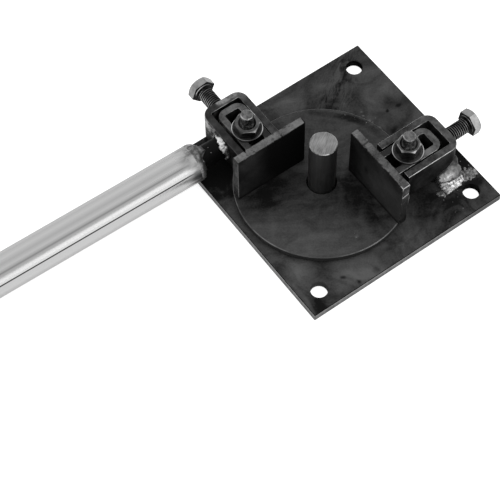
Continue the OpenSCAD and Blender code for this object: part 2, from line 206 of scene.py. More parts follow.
class Wire:
    """An output socket of a finish; sums of wires and numbers add Math nodes."""

    def __init__(self, tree, socket=None):
        self.tree = tree
        self.socket = socket

    def plug(self, target, value):
        """Links a wire to a socket or sets the socket's own value; one number makes a grey."""
        if isinstance(value, Wire):
            self.tree.links.new(value.socket, target)
        elif target.type == "RGBA":
            target.default_value = (*(grey(value) if isinstance(value, (int, float)) else value), 1)
        else:
            target.default_value = value

    def node(self, kind, settings=None, inputs=None, output=0):
        """Adds a node of any kind: its settings first, then the values or wires of its sockets."""
        made = self.tree.nodes.new(kind)
        for name, value in (settings or {}).items():
            if name == "stops":
                self.set_stops(made.color_ramp.elements, value)
            else:
                setattr(made, name, value)
        for name, value in (inputs or {}).items():
            self.plug(made.inputs[name], value)
        return Wire(self.tree, made.outputs[output])

    def set_stops(self, elements, stops):
        elements.remove(elements[1])
        for count, (place, value) in enumerate(stops):
            element = elements.new(place) if count else elements[0]
            element.position = place
            element.color = (*grey(value), 1)

    def math(self, operation, *values, clamp=False):
        settings = {"operation": operation, "use_clamp": clamp}
        return self.node("ShaderNodeMath", settings, dict(enumerate(values)))

    def vector(self, operation, *values, output=0):
        return self.node("ShaderNodeVectorMath", {"operation": operation}, dict(enumerate(values)), output)

    def __add__(self, other):
        return self.math("ADD", self, other)

    def __sub__(self, other):
        return self.math("SUBTRACT", self, other)

    def __rsub__(self, other):
        return self.math("SUBTRACT", other, self)

    def __mul__(self, other):
        return self.math("MULTIPLY", self, other)

    __radd__ = __add__
    __rmul__ = __mul__

    def __abs__(self):
        return self.math("ABSOLUTE", self)

    def clamped(self):
        return self.math("ADD", self, 0.0, clamp=True)

    def part(self, axis):
        """One number of a place."""
        return self.node("ShaderNodeSeparateXYZ", {}, {0: self}, axis)

    def step(self, low, high):
        """Soft step from 0 at low to 1 at high."""
        return self.node("ShaderNodeMapRange", {"interpolation_type": "SMOOTHSTEP"},
                         {"Value": self, "From Min": low, "From Max": high})

    def mix(self, first, second):
        """Colour between two, by this wire."""
        return self.node("ShaderNodeMix", {"data_type": "RGBA"}, {0: self, 6: first, 7: second}, 2)

    def place(self):
        return self.node("ShaderNodeTexCoord", output="Object")

    def moved(self, location=(0, 0, 0), turn=0.0):
        """This place, in a frame that stands elsewhere and is turned about Z."""
        return self.node("ShaderNodeMapping", {"vector_type": "TEXTURE"},
                         {"Vector": self, "Location": location, "Rotation": (0, 0, turn)})

    def stretched(self, scale):
        return self.vector("MULTIPLY", self, scale)

    def flat(self):
        """This place, seen from above."""
        return self.stretched((1, 1, 0))

    def noise(self, scale, detail=4.0, rough=0.55, swirl=0.0, output=0):
        return self.node("ShaderNodeTexNoise", {}, {"Vector": self, "Scale": scale, "Detail": detail,
                                                    "Roughness": rough, "Distortion": swirl}, output)

    def warped(self, scale, reach):
        """This place, pushed about by a slow noise."""
        push = self.vector("SUBTRACT", self.noise(scale, 3.0, 0.5, output="Color"), grey(0.5))
        return self.vector("MULTIPLY_ADD", push, grey(reach), self)

    def far(self, point):
        """Distance to a point."""
        return self.vector("DISTANCE", self, point, output="Value")

    def spot(self, centre, radius):
        """1 at a place, 0 beyond a radius from it, both in millimetres in the part's frame."""
        return self.far(Vector(centre) * MM).step(radius * MM, 0.0)

    def trail(self, start, end, width):
        """1 on the line between two places, 0 beyond a width from it, in millimetres as a spot is."""
        start = Vector(start) * MM
        run = Vector(end) * MM - start
        share = self.vector("DOT_PRODUCT", self.vector("SUBTRACT", self, start), run, output="Value")
        share = share.math("MULTIPLY", share, 1 / run.length_squared, clamp=True)
        return self.far(self.vector("MULTIPLY_ADD", share, run, start)).step(width * MM, 0.0)

    def mottled(self, scale, detail, rough, low, high, share, grain, grit):
        """Tone of handled steel: soft patches of noise and a fine grain."""
        return self.noise(scale, detail, rough).step(low, high) * share + (self.noise(grain) - 0.5) * grit

    def surface(self, base, rough, metal, relief, depth, specular=0.3):
        """Steel with a relief whose depth is in millimetres."""
        bump = self.node("ShaderNodeBump", {}, {"Distance": depth * MM, "Height": relief})
        sockets = {"Base Color": base, "Roughness": rough, "Metallic": metal,
                   "Specular IOR Level": specular, "Normal": bump}
        for name, value in sockets.items():
            self.plug(self.tree.nodes["Principled BSDF"].inputs[name], value)


def finish(build):
    """Makes a finish once, under its function's name, however many pieces take it."""
    def once():
        known = bpy.data.materials.get(build.__name__)
        if known:
            return known
        made = bpy.data.materials.new(build.__name__)
        made.use_nodes = True
        build(Wire(made.node_tree).place(), bpy.context.scene.bender_finishes)
        return made
    return once


def smoky_tone(place, marks, smoke):
    """Tone of mill scale: drifting smoke, brushing, grain and single marks, among them painted shade."""
    drift = place.warped(13, 0.05)
    tone = (drift.noise(24, 6, 0.52, swirl=2.2).step(0.24, 0.78) - 0.5) * smoke + 0.41
    brushed = place.moved(turn=math.radians(-36)).stretched((40, 170, 1))
    tone = tone + (brushed.noise(1, 4) - 0.5) * 0.26
    tone = tone + (place.noise(160, 4, 0.65) - 0.5) * 0.24
    tone = tone + (place.noise(640, 3, 0.6) - 0.5) * 0.34
    flat = place.warped(40, 0.014).flat()
    for x, y, radius, lift in marks:
        tone = tone + flat.spot((x, y, 0), radius) * lift
    return tone


def crease_tone(place, points):
    """Dark of a crease in mill scale: thin lines that run along it and a soft shade round it."""
    flat = place.warped(40, 0.012).flat()
    run = Vector(points[-1]) - Vector(points[0])
    along = math.atan2(run.y, run.x)
    lines = place.warped(22, 0.03).moved(turn=along).stretched((45, 240, 1)).noise(1, 3)
    lines = abs(lines - 0.5).step(0.06, 0.0)
    dark = None
    for start, end in zip(points, points[1:]):
        shade = flat.trail((*start, 0), (*end, 0), 4) * 0.15
        shade = shade + flat.trail((*start, 0), (*end, 0), 24) * (0.05 + 0.26 * lines)
        dark = shade if dark is None else dark.math("MAXIMUM", dark, shade)
    return dark


# Rubbed and dark places in the mill scale: x, y, radius in millimetres, and how much lighter they are. The
# large dark place under the stub and the tube, at -88, 66, is a painted shadow.
PLATE_MARKS = (
    (77, 26, 2.8, -0.6), (88, 25, 2.8, -0.6), (84, 33, 12, -0.14), (38, 61, 14, -0.16),
    (-58, -85, 3, -0.6), (-52, -95, 3, -0.6), (-33, -94, 5, -0.5), (-93, -93, 15, -0.4),
    (-72, -73, 12, -0.34), (-95, -44, 10, -0.12), (48, -85, 42, -0.2), (78, -72, 44, -0.24),
    (-88, 66, 50, -0.7), (-60, 92, 26, -0.2), (-88, -59, 22, 0.34), (-45, -85, 30, 0.5),
    (-28, -88, 18, 0.2), (90, 46, 16, 0.16), (65, 68, 12, 0.16), (92, 95, 9, 0.2), (50, 85, 24, 0.1),
    (97, -46, 18, -0.7), (93, -57, 14, -0.5), (90, -77, 12, -0.5), (56.6, 33, 1.5, 0.8),
    (57.5, 27, 1.7, 0.9), (58.3, 23.8, 1.4, 0.8), (58.5, 17, 1.8, 0.7), (58.7, 11.6, 1.4, 0.7),
    (57.8, 37.4, 1.4, 0.6), (62.3, 26.1, 1.2, 0.5), (67, 8, 12, -0.32), (57, -80, 28, -0.18),
    (30, -90, 15, 0.22), (12, 80, 16, 0.18), (76, 42, 20, 0.12),
)
PLATE_CREASE = ((81, 98), (71, 87), (66, 78), (58, 74), (51, 65), (38, 61))
# Darker and lighter places on the disc, as the plate's marks; the dark ones along the feet of both jaws and
# between the pin and the standing jaw are painted shade.
DISC_MARKS = (
    (-64, 4, 9, -0.16), (-18, -31, 34, -0.12), (-2, -18, 34, -0.24), (-46, -4, 20, -0.08),
    (-72, -44, 36, 0.17), (-40, -56, 44, 0.16), (-28, -61, 2.4, 0.4), (30, -40, 34, -0.1),
    (-60, -20, 22, 0.06), (-1, -44, 26, -0.2), (-76, 20, 30, -0.24), (-54, 20, 34, -0.28),
    (-42, -26, 24, -0.14), (-4, -58, 26, -0.18), (-78, -14, 20, 0.16),
)


@finish
def plate_scale(place, colours):
    tone = (smoky_tone(place, PLATE_MARKS, 0.56) - crease_tone(place, PLATE_CREASE)).clamped()
    grain = place.noise(900, 3)
    place.surface(tone.mix(colours.scale_dark, colours.scale_light), 0.6 - 0.2 * tone + 0.1 * grain, 0.1,
                  grain + 2.0 * place.noise(140, 3), 0.12, specular=0.07)


@finish
def disc_scale(place, colours):
    rim = half_width("turntable_disc")
    out = place.warped(60, 0.003).flat().far(PIVOT_FLOOR)
    # A band inside the rim: painted shade darkens it at the back, and it is a little lighter at the front.
    band = out.step(rim - 11 * MM, rim - 7 * MM) * out.step(rim - 1.5 * MM, rim - 4 * MM)
    tone = smoky_tone(place, DISC_MARKS, 0.3) - band * place.spot((44, 36, 14), 44) * 0.34
    drag = place.warped(18, 0.02).moved(turn=math.radians(-28)).stretched((28, 130, 1))
    tone = tone + (drag.noise(1, 4, 0.6).step(0.3, 0.7) - 0.5) * 0.16
    tone = (tone + band * place.spot((-50, -60, 14), 50) * 0.1).clamped()
    grain = place.noise(900, 3)
    place.surface(tone.mix(colours.scale_dark, colours.scale_light), 0.58 - 0.2 * tone + 0.1 * grain, 0.1,
                  grain + 2.0 * place.noise(140, 3), 0.1, specular=0.08)


@finish
def jaw_scale(place, colours):
    tone = place.warped(20, 0.02).noise(30, 6, 0.6).step(0.35, 0.8) * 0.3
    tone = tone + (place.noise(480, 3) - 0.5) * 0.12 + 0.03
    tone = tone + place.spot((8, -70, 24), 46) * 0.26 + place.spot((8, -42, 44), 40) * 0.1
    tone = tone + place.spot((8, -30, 38), 24) * 0.14
    # Painted shade: this mask makes the turning jaw black towards its inner end by the pin, and also holds a
    # small black spot on the standing jaw; the last step darkens both jaws to black in their lowest few
    # millimetres, where they stand on the disc.
    black = place.spot((-22, 26, 44), 66).step(0.0, 0.55)
    black = black.math("MAXIMUM", black, place.stretched((1, 1, 0.55)).spot((8, -28, 23), 4) * 0.8)
    tone = (tone * (1 - black) * place.part("Z").step(14.5 * MM, 20 * MM)).clamped()
    place.surface(tone.mix(colours.soot_and_shade, colours.scale_light), 0.6 - 0.1 * tone, 0.0,
                  place.noise(700, 3) + 2.0 * place.noise(120, 2), 0.12, specular=0.03)


# Painted shade: near-black walls of holes and bores, countersinks, bevels and the disc's sides, with painted
# light where light falls on the front bolt hole's wall and on the disc's side wall.
@finish
def painted_wall_shade(place, colours):
    lit = place.spot((-82, -82, 4), 14).step(0.0, 0.3)
    wall = place.flat().far(PIVOT_FLOOR).step(70 * MM, 75 * MM)
    wall = wall * place.part("Z").step(8 * MM, 9 * MM)
    tone = (place.noise(90, 4).step(0.4, 0.8) * 0.18 + lit * 0.75 + wall * 0.3).clamped()
    place.surface(tone.mix(colours.soot_and_shade, colours.scale_light), 0.6, 0.0, place.noise(600), 0.1, specular=0.0)


@finish
def bar_scale(place, colours):
    tone = place.warped(30, 0.01).noise(48, 6, 0.62).step(0.35, 0.85) * 0.4
    tone = tone + (place.noise(600, 2) - 0.5) * 0.16
    heat = place.warped(70, 0.008).noise(150, 5, 0.7).step(0.4, 0.64)
    heat = heat * place.spot((-72, 84, 40), 24).step(0.05, 0.6)
    base = heat.mix(tone.clamped().mix(colours.soot_and_shade, colours.scale_light), 0.42)
    place.surface(base, 0.55 - 0.15 * heat, 0.1 + 0.6 * heat,
                  place.noise(650, 3), 0.1, specular=0.08)


@finish
def stub_scale(place, colours):
    smear = place.warped(60, 0.008).noise(120, 5, 0.65).step(0.58, 0.75)
    pale = place.spot((-73, 74, 42), 13)
    tone = (smear * (0.06 + 0.5 * pale)).clamped()
    place.surface(tone.mix(colours.soot_and_shade, colours.bar_light), 0.5, 0.3 * tone,
                  place.noise(420, 4), 0.2, specular=0.06)


@finish
def bar_edge(place, colours):
    streak = place.noise(110, 5, 0.65)
    tone = streak.step(0.3, 0.75) * 0.7 + (place.noise(700, 2) - 0.5) * 0.4
    tone = tone * (1 - 0.6 * place.spot((-62, 74, 44), 52).step(0.0, 0.5))
    bends = place.trail((-46, 98, 44), (-34, 98, 44), 13) * 0.5
    bends = bends + place.trail((82, -17, 44), (80, -54, 44), 15) * 0.22
    tone = (tone + bends * (0.5 + streak)).clamped()
    # Painted highlight along the outer top edge of the turning bracket's bend, broken up by streaks.
    painted_highlight = place.trail((-52, 101.5, 44), (-34, 101.5, 44), 6).step(0.0, 0.6)
    painted_highlight = painted_highlight * place.warped(90, 0.006).noise(170, 4, 0.65).step(0.36, 0.62)
    base = painted_highlight.mix(tone.mix(colours.bar_dark, colours.bar_light), 0.26)
    place.surface(base, 0.46, 0.6, place.noise(500, 4), 0.15)


@finish
def slider_edge(place, colours):
    tone = place.mottled(120, 5, 0.65, 0.25, 0.75, 0.7, 800, 0.4)
    # Darker within about 56 to 82 millimetres of the pin.
    near_pin = place.warped(60, 0.012).flat().far(PIVOT_FLOOR).step(82 * MM, 56 * MM)
    base = tone.clamped().mix(colours.cut_dark, colours.cut_light)
    place.surface((near_pin * 0.92).mix(base, colours.bar_dark), 0.45, 0.6 - 0.4 * near_pin,
                  place.noise(500, 4), 0.12, specular=0.15)


@finish
def sheared_face(place, colours):
    tear = place.stretched((1, 1, 0.35)).noise(260, 5, 0.7).step(0.3, 0.75)
    worn = place.warped(60, 0.008).noise(70, 5, 0.62).step(0.4, 0.62)
    pit = place.warped(90, 0.006).noise(210, 4, 0.7).step(0.56, 0.7)
    tone = tear * 0.26 + worn * 0.36 + (place.noise(900) - 0.5) * 0.5 - pit * 0.5
    tone = tone + place.part("X").step(-9 * MM, -14 * MM) * 0.26 + place.spot((12, -10, 70), 14) * 0.3
    tone = (tone - place.trail((8, -21.1, 69.8), (17, -20.2, 69.8), 1.3) * 0.8).clamped()
    place.surface(tone.mix(colours.cut_dark, colours.cut_light), 0.55 - 0.12 * tone, 0.5,
                  tear + 0.6 * place.noise(700, 3) + worn - pit, 0.25)


@finish
def sheared_end(place, colours):
    tear = place.stretched((1, 1, 0.3)).noise(300, 5, 0.7).step(0.35, 0.8)
    patch = place.warped(80, 0.006).noise(150, 4, 0.65).step(0.45, 0.7)
    scratch = place.trail((7, -75, 55.2), (14.5, -75, 57.6), 1.1).step(0.1, 0.5)
    low = place.part("Z").step(58 * MM, 48 * MM) * place.part("X").step(0, 5 * MM)
    tone = ((tear * 0.24 + patch * 0.3) * (1 - 0.6 * low) + scratch).clamped()
    place.surface(scratch.mix(tone.mix(colours.scale_dark, colours.cut_light), colours.bright), 0.5, 0.4,
                  tear, 0.2, specular=0.1)


@finish
def plate_edge(place, colours):
    drag = place.stretched((1, 1, 0.25)).noise(420, 4, 0.65).step(0.25, 0.8)
    lip = place.part("Z").step(3.6 * MM, 6.8 * MM)
    tone = drag * 0.55 + place.noise(60, 3).step(0.3, 0.7) * 0.35 + lip * 0.5
    tone = (tone * (1 - 0.8 * place.part("X").step(30 * MM, 85 * MM))).clamped()
    place.surface(tone.mix(colours.cut_dark, colours.cut_light), 0.5, 0.6, drag, 0.15)


@finish
def worn_edge_and_highlight(place, colours):
    wear_and_highlight = place.noise(160, 4, 0.65).step(0.35, 0.7) * 0.8 + 0.12
    wear_and_highlight = wear_and_highlight * (1 - 0.8 * place.spot((-70, 70, 44), 32).step(0.0, 0.4))
    wear_and_highlight = wear_and_highlight * (1 - 0.6 * place.trail((-28.7, 50, 44), (-28.7, 88, 44), 6).step(0.0, 0.4))
    # Painted highlights along the standing bracket's two long top edges.
    wear_and_highlight = wear_and_highlight + place.trail((31, -14.5, 44.5), (76, -14.5, 44.5), 5) * 0.6
    wear_and_highlight = (wear_and_highlight + place.trail((29, -55.5, 44), (74, -55.5, 44), 8) * 0.5).clamped()
    place.surface(wear_and_highlight.mix(colours.bar_dark, colours.bright), 0.36, 0.9, place.noise(900, 2), 0.05)


@finish
def soft_edge(place, colours):
    knock = place.spot((12, -75, 70), 8).step(0.1, 0.5)
    wear_and_highlight = place.noise(190, 4, 0.65).step(0.46, 0.75) * 0.7
    wear_and_highlight = wear_and_highlight + place.trail((-86.5, 25.5, 20), (-86.5, 25.5, 66), 4) * 0.5
    base = (wear_and_highlight + knock).clamped().mix(colours.bar_dark, knock.mix(colours.cut_light, colours.bright))
    place.surface(base, 0.45, 0.6, place.noise(900, 2), 0.1)


@finish
def rim_line(place, colours):
    wear_and_highlight = place.noise(70, 3, 0.6).step(0.2, 0.8) * 0.8 + 0.1
    # Painted shade dims the rim's line at the front, and a painted highlight brightens it at the back.
    wear_and_highlight = (wear_and_highlight * (1 - 0.8 * place.spot((-62, -64, 14), 46)) + place.spot((35, 56, 14), 60) * 0.5).clamped()
    place.surface(wear_and_highlight.mix(colours.cut_dark, colours.cut_light), 0.45, 0.7, place.noise(900, 2), 0.05)


@finish
def drawn_bar(place, colours):
    draw = place.stretched((1, 1, 0.04)).noise(420, 4, 0.6)
    haze = place.noise(60, 4).step(0.3, 0.75)
    across = place.moved(PIVOT_FLOOR, math.radians(-35)).part("X")
    shade = across.step(-9 * MM, 9 * MM) - across.step(9.5 * MM, 12 * MM) * 0.5
    tone = ((draw.step(0.3, 0.75) * 0.3 + haze * 0.3 + 0.16) * (1 - 0.72 * shade)).clamped()
    place.surface(tone.mix(colours.bar_dark, colours.bar_light), 0.36, 0.55, draw, 0.05)


@finish
def sawn_end(place, colours):
    saw = place.moved(turn=math.radians(122)).stretched((1100, 110, 1)).noise(1.0, 3, 0.65)
    patch = place.noise(130, 3).step(0.3, 0.7)
    tone = (saw.step(0.25, 0.8) * 0.6 + patch * 0.25 + 0.1).clamped()
    place.surface(tone.mix(0.11, 0.35), 0.42, 0.7, saw, 0.15)


@finish
def stud_top(place, colours):
    tone = place.mottled(230, 5, 0.7, 0.3, 0.7, 0.75, 1100, 0.4).clamped()
    place.surface(tone.mix(0.045, 0.23), 0.5, 0.6, place.noise(700, 4), 0.25)


@finish
def stud_side(place, colours):
    tone = place.mottled(520, 4, 0.7, 0.4, 0.72, 0.8, 1300, 0.4).clamped()
    place.surface(tone.mix(0.008, 0.24), 0.45, 0.7, place.noise(800, 4), 0.3, specular=0.1)


@finish
def nut_steel(place, colours):
    tone = place.mottled(140, 5, 0.6, 0.3, 0.8, 0.7, 900, 0.2).clamped()
    place.surface(tone.mix(0.012, 0.11), 0.36, 0.7, place.noise(500, 3), 0.06, specular=0.15)


@finish
def nut_top(place, colours):
    tone = place.mottled(170, 5, 0.65, 0.3, 0.75, 0.8, 900, 0.3).clamped()
    place.surface(tone.mix(0.06, 0.18), 0.6, 0.15, place.noise(600, 3), 0.1)


@finish
def washer_rim(place, colours):
    wear_and_highlight = place.noise(75, 4, 0.6).step(0.3, 0.7) * 0.26
    # Painted highlights: each washer's rim is bright on two opposite flanks.
    for station in STATIONS:
        low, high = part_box(f"{station}_clamp_washer")
        for side in (-40, 140):
            flank = (low + high) / 2 + round_point((high.x - low.x) / 2, math.radians(side))
            wear_and_highlight = wear_and_highlight + place.spot(flank / MM, 11) * 0.75
    place.surface(wear_and_highlight.clamped().mix(0.08, 0.72), 0.3, 0.95, place.noise(900, 2), 0.04)


@finish
def bolt_steel(place, colours):
    tone = (place.mottled(120, 4, 0.6, 0.25, 0.75, 0.6, 900, 0.25) + 0.2).clamped()
    place.surface(tone.mix(0.1, 0.38), 0.32, 0.85, place.noise(600, 3), 0.06)


@finish
def thread_steel(place, colours):
    tone = (place.noise(200, 4).step(0.3, 0.75) * 0.5).clamped()
    place.surface(tone.mix(0.002, 0.03), 0.5, 0.0, place.noise(900, 2), 0.04, specular=0.02)


@finish
def crest_steel(place, colours):
    # Painted highlights on the lit flank of each screw's thread and on the seat ring under each head.
    wear_and_highlight = place.trail((-57, 103, 30), (-57, 122, 30), 6)
    wear_and_highlight = wear_and_highlight.math("MAXIMUM", wear_and_highlight * 0.7, place.trail((90, -43, 30), (108, -43, 30), 6) * 0.34)
    wear_and_highlight = wear_and_highlight.math("MAXIMUM", wear_and_highlight, place.spot((-56, 128, 34), 8))
    wear_and_highlight = wear_and_highlight.math("MAXIMUM", wear_and_highlight, place.spot((112.5, -40, 35), 8) * 0.3)
    tone = (place.noise(130, 4).step(0.35, 0.65) * (0.2 + wear_and_highlight) + wear_and_highlight * 0.3 + 0.06).clamped()
    place.surface(tone.mix(0.004, 0.6), 0.4, 0.5, place.noise(900, 2), 0.04, specular=0.06)


# Painted reflections round the drawn tube, bands of light and dark, with its dark weld seam at 29 to 32
# degrees: (degrees about its axis from +Y, brightness).
TUBE_REFLECTIONS_AND_SEAM = (
    (-30, 0.36), (-8, 0.38), (6, 0.48), (28.4, 0.48), (29.1, 0.03), (32.3, 0.03), (33.1, 0.68),
    (37, 0.63), (44, 0.37), (57.5, 0.37), (61, 0.23), (65, 0.38), (72, 0.5), (84, 0.41), (100, 0.53),
    (122, 0.42), (142, 0.2), (160, 0.06),
)


@finish
def tube_polish(place, colours):
    along = place.moved(HANDLE_POINT, HANDLE_LEAN)
    angle = place.math("ARCTAN2", along.part("Z"), along.part("Y"))
    first, span = TUBE_REFLECTIONS_AND_SEAM[0][0], TUBE_REFLECTIONS_AND_SEAM[-1][0] - TUBE_REFLECTIONS_AND_SEAM[0][0]
    share = (angle * math.degrees(1) - first) * (1 / span)
    stops = [((degrees - first) / span, value) for degrees, value in TUBE_REFLECTIONS_AND_SEAM]
    bands = share.node("ShaderNodeValToRGB", {"stops": stops}, {0: share})
    streak = along.stretched((5, 900, 900)).noise(1.0, 3)
    scuff = along.stretched((40, 160, 160)).noise(1.0, 5, 0.65)
    run = along.part("X") - handle_span("handle_tube")[0] + (scuff - 0.5) * 0.02
    heat = run.step(20 * MM, 4 * MM)
    haze = scuff.step(0.35, 0.65).mix(0.2, 0.46)
    base = (heat * 0.92).mix(bands, haze)
    # Soot and shade darken the tube's lower side near its end.
    soot_and_shade = run.step(14 * MM, 3 * MM) * angle.step(math.radians(36), math.radians(12))
    lumps = place.warped(110, 0.008)
    lumps = lumps.noise(230, 4, 0.65).step(0.42, 0.64) * lumps.spot((-99, 71, 42), 17)
    soot_and_shade = soot_and_shade.math("MAXIMUM", soot_and_shade * 0.9, lumps * 0.8)
    place.surface(soot_and_shade.mix(base, 0.03), 0.22 + 0.08 * streak + 0.2 * heat, 1.0, streak, 0.01)


@finish
def taper_steel(place, colours):
    start, end = handle_span("handle_weld")
    run = place.moved(HANDLE_POINT, HANDLE_LEAN).part("X")
    mark = place.warped(70, 0.008).noise(170, 5, 0.65)
    shade = (run + (mark - 0.5) * 0.014).step(end - 3 * MM, start - 3 * MM) * 0.7
    shade = shade.math("MAXIMUM", shade, place.warped(90, 0.01).noise(240, 4).step(0.54, 0.68) * 0.75)
    lumps = place.warped(110, 0.008).noise(230, 4, 0.65).step(0.36, 0.6)
    lumps = lumps * place.spot((-97, 71, 42), 19).step(0.0, 0.5) * 0.75
    under = place.part("Z") + (mark - 0.5) * 0.02
    shade = (shade.math("MAXIMUM", shade, lumps) + under.step(32 * MM, 22 * MM)).clamped()
    place.surface(shade.mix(0.3, 0.025), 0.36 + 0.2 * shade, 0.9,
                  place.noise(420, 4, 0.65), 0.3)


@finish
def pool_metal(place, colours):
    corner = standing_corner()
    drift = place.warped(60, 0.006)
    run = drift.moved(corner)
    shade = run.part("X").step(-18 * MM, -4 * MM) * 0.55 + run.part("Z").step(9 * MM, 20 * MM) * 0.45
    smoke = drift.noise(95, 5, 0.65).step(0.55, 0.75) * 0.4
    seam = place.moved(corner).trail((-29, -9.6, 3), (-2, -9.2, 3), 2.4).step(0.2, 0.7)
    shade = (shade + smoke + seam * 0.7).clamped()
    streak = place.stretched((1, 0.28, 0.28)).noise(430, 4, 0.65)
    base = streak.step(0.25, 0.7).mix(0.18, 0.46)
    place.surface(shade.mix(base, 0.03), 0.26 + 0.3 * shade, 0.95 - 0.7 * shade, streak, 0.1,
                  specular=0.1)


@finish
def toe_metal(place, colours):
    streak = place.stretched((1, 0.3, 0.3)).noise(900, 4, 0.7)
    shade = place.warped(60, 0.006).noise(130, 4, 0.65).step(0.46, 0.7) * 0.7
    shade = (shade + place.moved(standing_corner()).spot((-28, -14, 0), 9) * 0.7).clamped()
    base = streak.step(0.32, 0.6).mix(0.1, 0.72)
    place.surface(shade.mix(base, 0.03), 0.28 + 0.2 * shade, 0.95, streak, 0.4)


@finish
def bead_metal(place, colours):
    smoke = place.warped(60, 0.006).noise(150, 5, 0.65).step(0.48, 0.66)
    # Painted highlight: the bead is bright round one spot on it and greyer away from it.
    core = place.spot((-75, 68, 42.5), 13.5).step(0.1, 0.7)
    shade = (smoke * 0.6 + (1 - core) * 0.6).clamped()
    ripple = place.noise(420, 4, 0.65)
    base = ripple.step(0.25, 0.65).mix(0.3, 0.85)
    place.surface(shade.mix(base, colours.soot_and_shade), 0.28 + 0.2 * shade, 0.95, ripple, 0.25)


@finish
def weld_grey(place, colours):
    smoke = place.warped(60, 0.006).noise(120, 5, 0.7).step(0.46, 0.7)
    ripple = place.noise(420, 4, 0.65)
    base = ripple.step(0.34, 0.66).mix(0.03, 0.31)
    place.surface((smoke * 0.85).mix(base, colours.soot_and_shade), 0.45, 0.6, ripple, 0.5)


def standing_corner():
    """Lower outer corner of the standing bracket, where its weld lies on the plate."""
    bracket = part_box("fixed_bracket")
    return Vector((bracket[1].x, bracket[0].y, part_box("fixed_bracket_foot")[0].z))


def station_box(station, node):
    """Lowest and highest corner of a solid, in its station's frame."""
    low, high = (STATIONS[station].inverted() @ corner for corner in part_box(node))
    return Vector(map(min, low, high)), Vector(map(max, low, high))


def put(name, data):
    """Adds an object to the scene."""
    made = bpy.data.objects.new(name, data)
    bpy.context.scene.collection.objects.link(made)
    return made


def make_piece(name, bm, finishes, place=None, sharp=40):
    """Turns a shape into an object at the origin, with its place in its mesh.

    Edges that turn by more than the sharp angle, in degrees, stay sharp in the shading.
    """
    if place:
        bmesh.ops.transform(bm, matrix=place, verts=bm.verts)
    bmesh.ops.dissolve_degenerate(bm, edges=bm.edges, dist=0.0005 * MM)
    bmesh.ops.recalc_face_normals(bm, faces=bm.faces)
    mesh = bpy.data.meshes.new(name)
    bm.to_mesh(mesh)
    bm.free()
    for made in finishes:
        mesh.materials.append(made)
    mesh.shade_smooth()
    mesh.set_sharp_from_angle(angle=math.radians(sharp))
    piece = put(name, mesh)
    even = piece.modifiers.new("Even shading", "WEIGHTED_NORMAL")
    even.keep_sharp = True
    return piece


def dress(node, name, bm, finishes, place=None, sharp=40):
    """Shows a piece in place of a solid, on the same body."""
    piece = make_piece(name, bm, finishes, place, sharp)
    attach(piece, frame["nodes"][node]["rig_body"])
    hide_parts(node)


def middle(face):
    return face.calc_center_median()


def paint(bm, index, test):
    """Gives the finish with this index to the faces that pass a test."""
    bm.normal_update()
    for face in bm.faces:
        if test(face):
            face.material_index = index


def ring(bm, radius, height, segments=64, centre=(0, 0)):
    """Round loop of edges in a level plane."""
    made = bmesh.ops.create_circle(
        bm, segments=segments, radius=radius, matrix=Matrix.Translation((*centre, height)))
    return made["verts"], list({edge for vert in made["verts"] for edge in vert.link_edges})


def bridge(bm, loops):
    """Joins a row of loops with walls."""
    for first, second in zip(loops, loops[1:]):
        bmesh.ops.bridge_loops(bm, edges=first + second)


def lathe(outline, steps=96, closed=False):
    """Turns an outline of (radius, height) points about Z."""
    bm = bmesh.new()
    verts = [bm.verts.new((radius, 0, height)) for radius, height in outline]
    ends = verts[1:] + verts[:1] if closed else verts[1:]
    edges = [bm.edges.new(pair) for pair in zip(verts, ends)]
    bmesh.ops.spin(bm, geom=verts + edges, cent=(0, 0, 0), axis=UP, dvec=(0, 0, 0),
                   angle=2 * math.pi, steps=steps, use_merge=True)
    bmesh.ops.remove_doubles(bm, verts=bm.verts, dist=0.001 * MM)
    bmesh.ops.recalc_face_normals(bm, faces=bm.faces)
    return bm


def sharp_edges(bm, limit=50):
    """Edges that turn by more than a number of degrees."""
    bm.normal_update()
    return [edge for edge in bm.edges if edge.calc_face_angle(0) > math.radians(limit)]


def soften(bm, edges, width, segments, clamp=False):
    """Rounds edges off and gives back the new faces."""
    return bmesh.ops.bevel(bm, geom=edges, offset=width, segments=segments, profile=0.5, affect="EDGES",
                           material=-1, clamp_overlap=clamp)["faces"]


def roughen(bm, amount, scale, test=None):
    """Pushes vertices about by a noise that is the same in every run."""
    noise.seed_set(NOISE_SEED)
    for vert in bm.verts:
        if test is None or test(vert.co):
            vert.co += amount * noise.noise_vector(vert.co * scale)


def limit(bm, axis, low=-math.inf, high=math.inf):
    """Presses a shape in between two planes across one axis."""
    for vert in bm.verts:
        vert.co[axis] = min(max(vert.co[axis], low), high)


def cut(bm, point, normal, **sides):
    """Cuts a shape along a plane, and clears away one of its sides if that is named."""
    bmesh.ops.bisect_plane(bm, geom=bm.verts[:] + bm.edges[:] + bm.faces[:], plane_co=point, plane_no=normal,
                           **sides)


def slice_across(bm, axis, places):
    """Cuts a shape across one axis, so that its long edges can be uneven."""
    normal = Vector((0, 0, 0))
    normal[axis] = 1
    for place in places:
        cut(bm, normal * place, normal)


def close_holes(bm):
    bmesh.ops.holes_fill(bm, edges=[edge for edge in bm.edges if edge.is_boundary], sides=0)


def spread(low, high, count):
    """Evenly spaced numbers between two, without these."""
    return [low + (high - low) * (i + 1) / (count + 1) for i in range(count)]


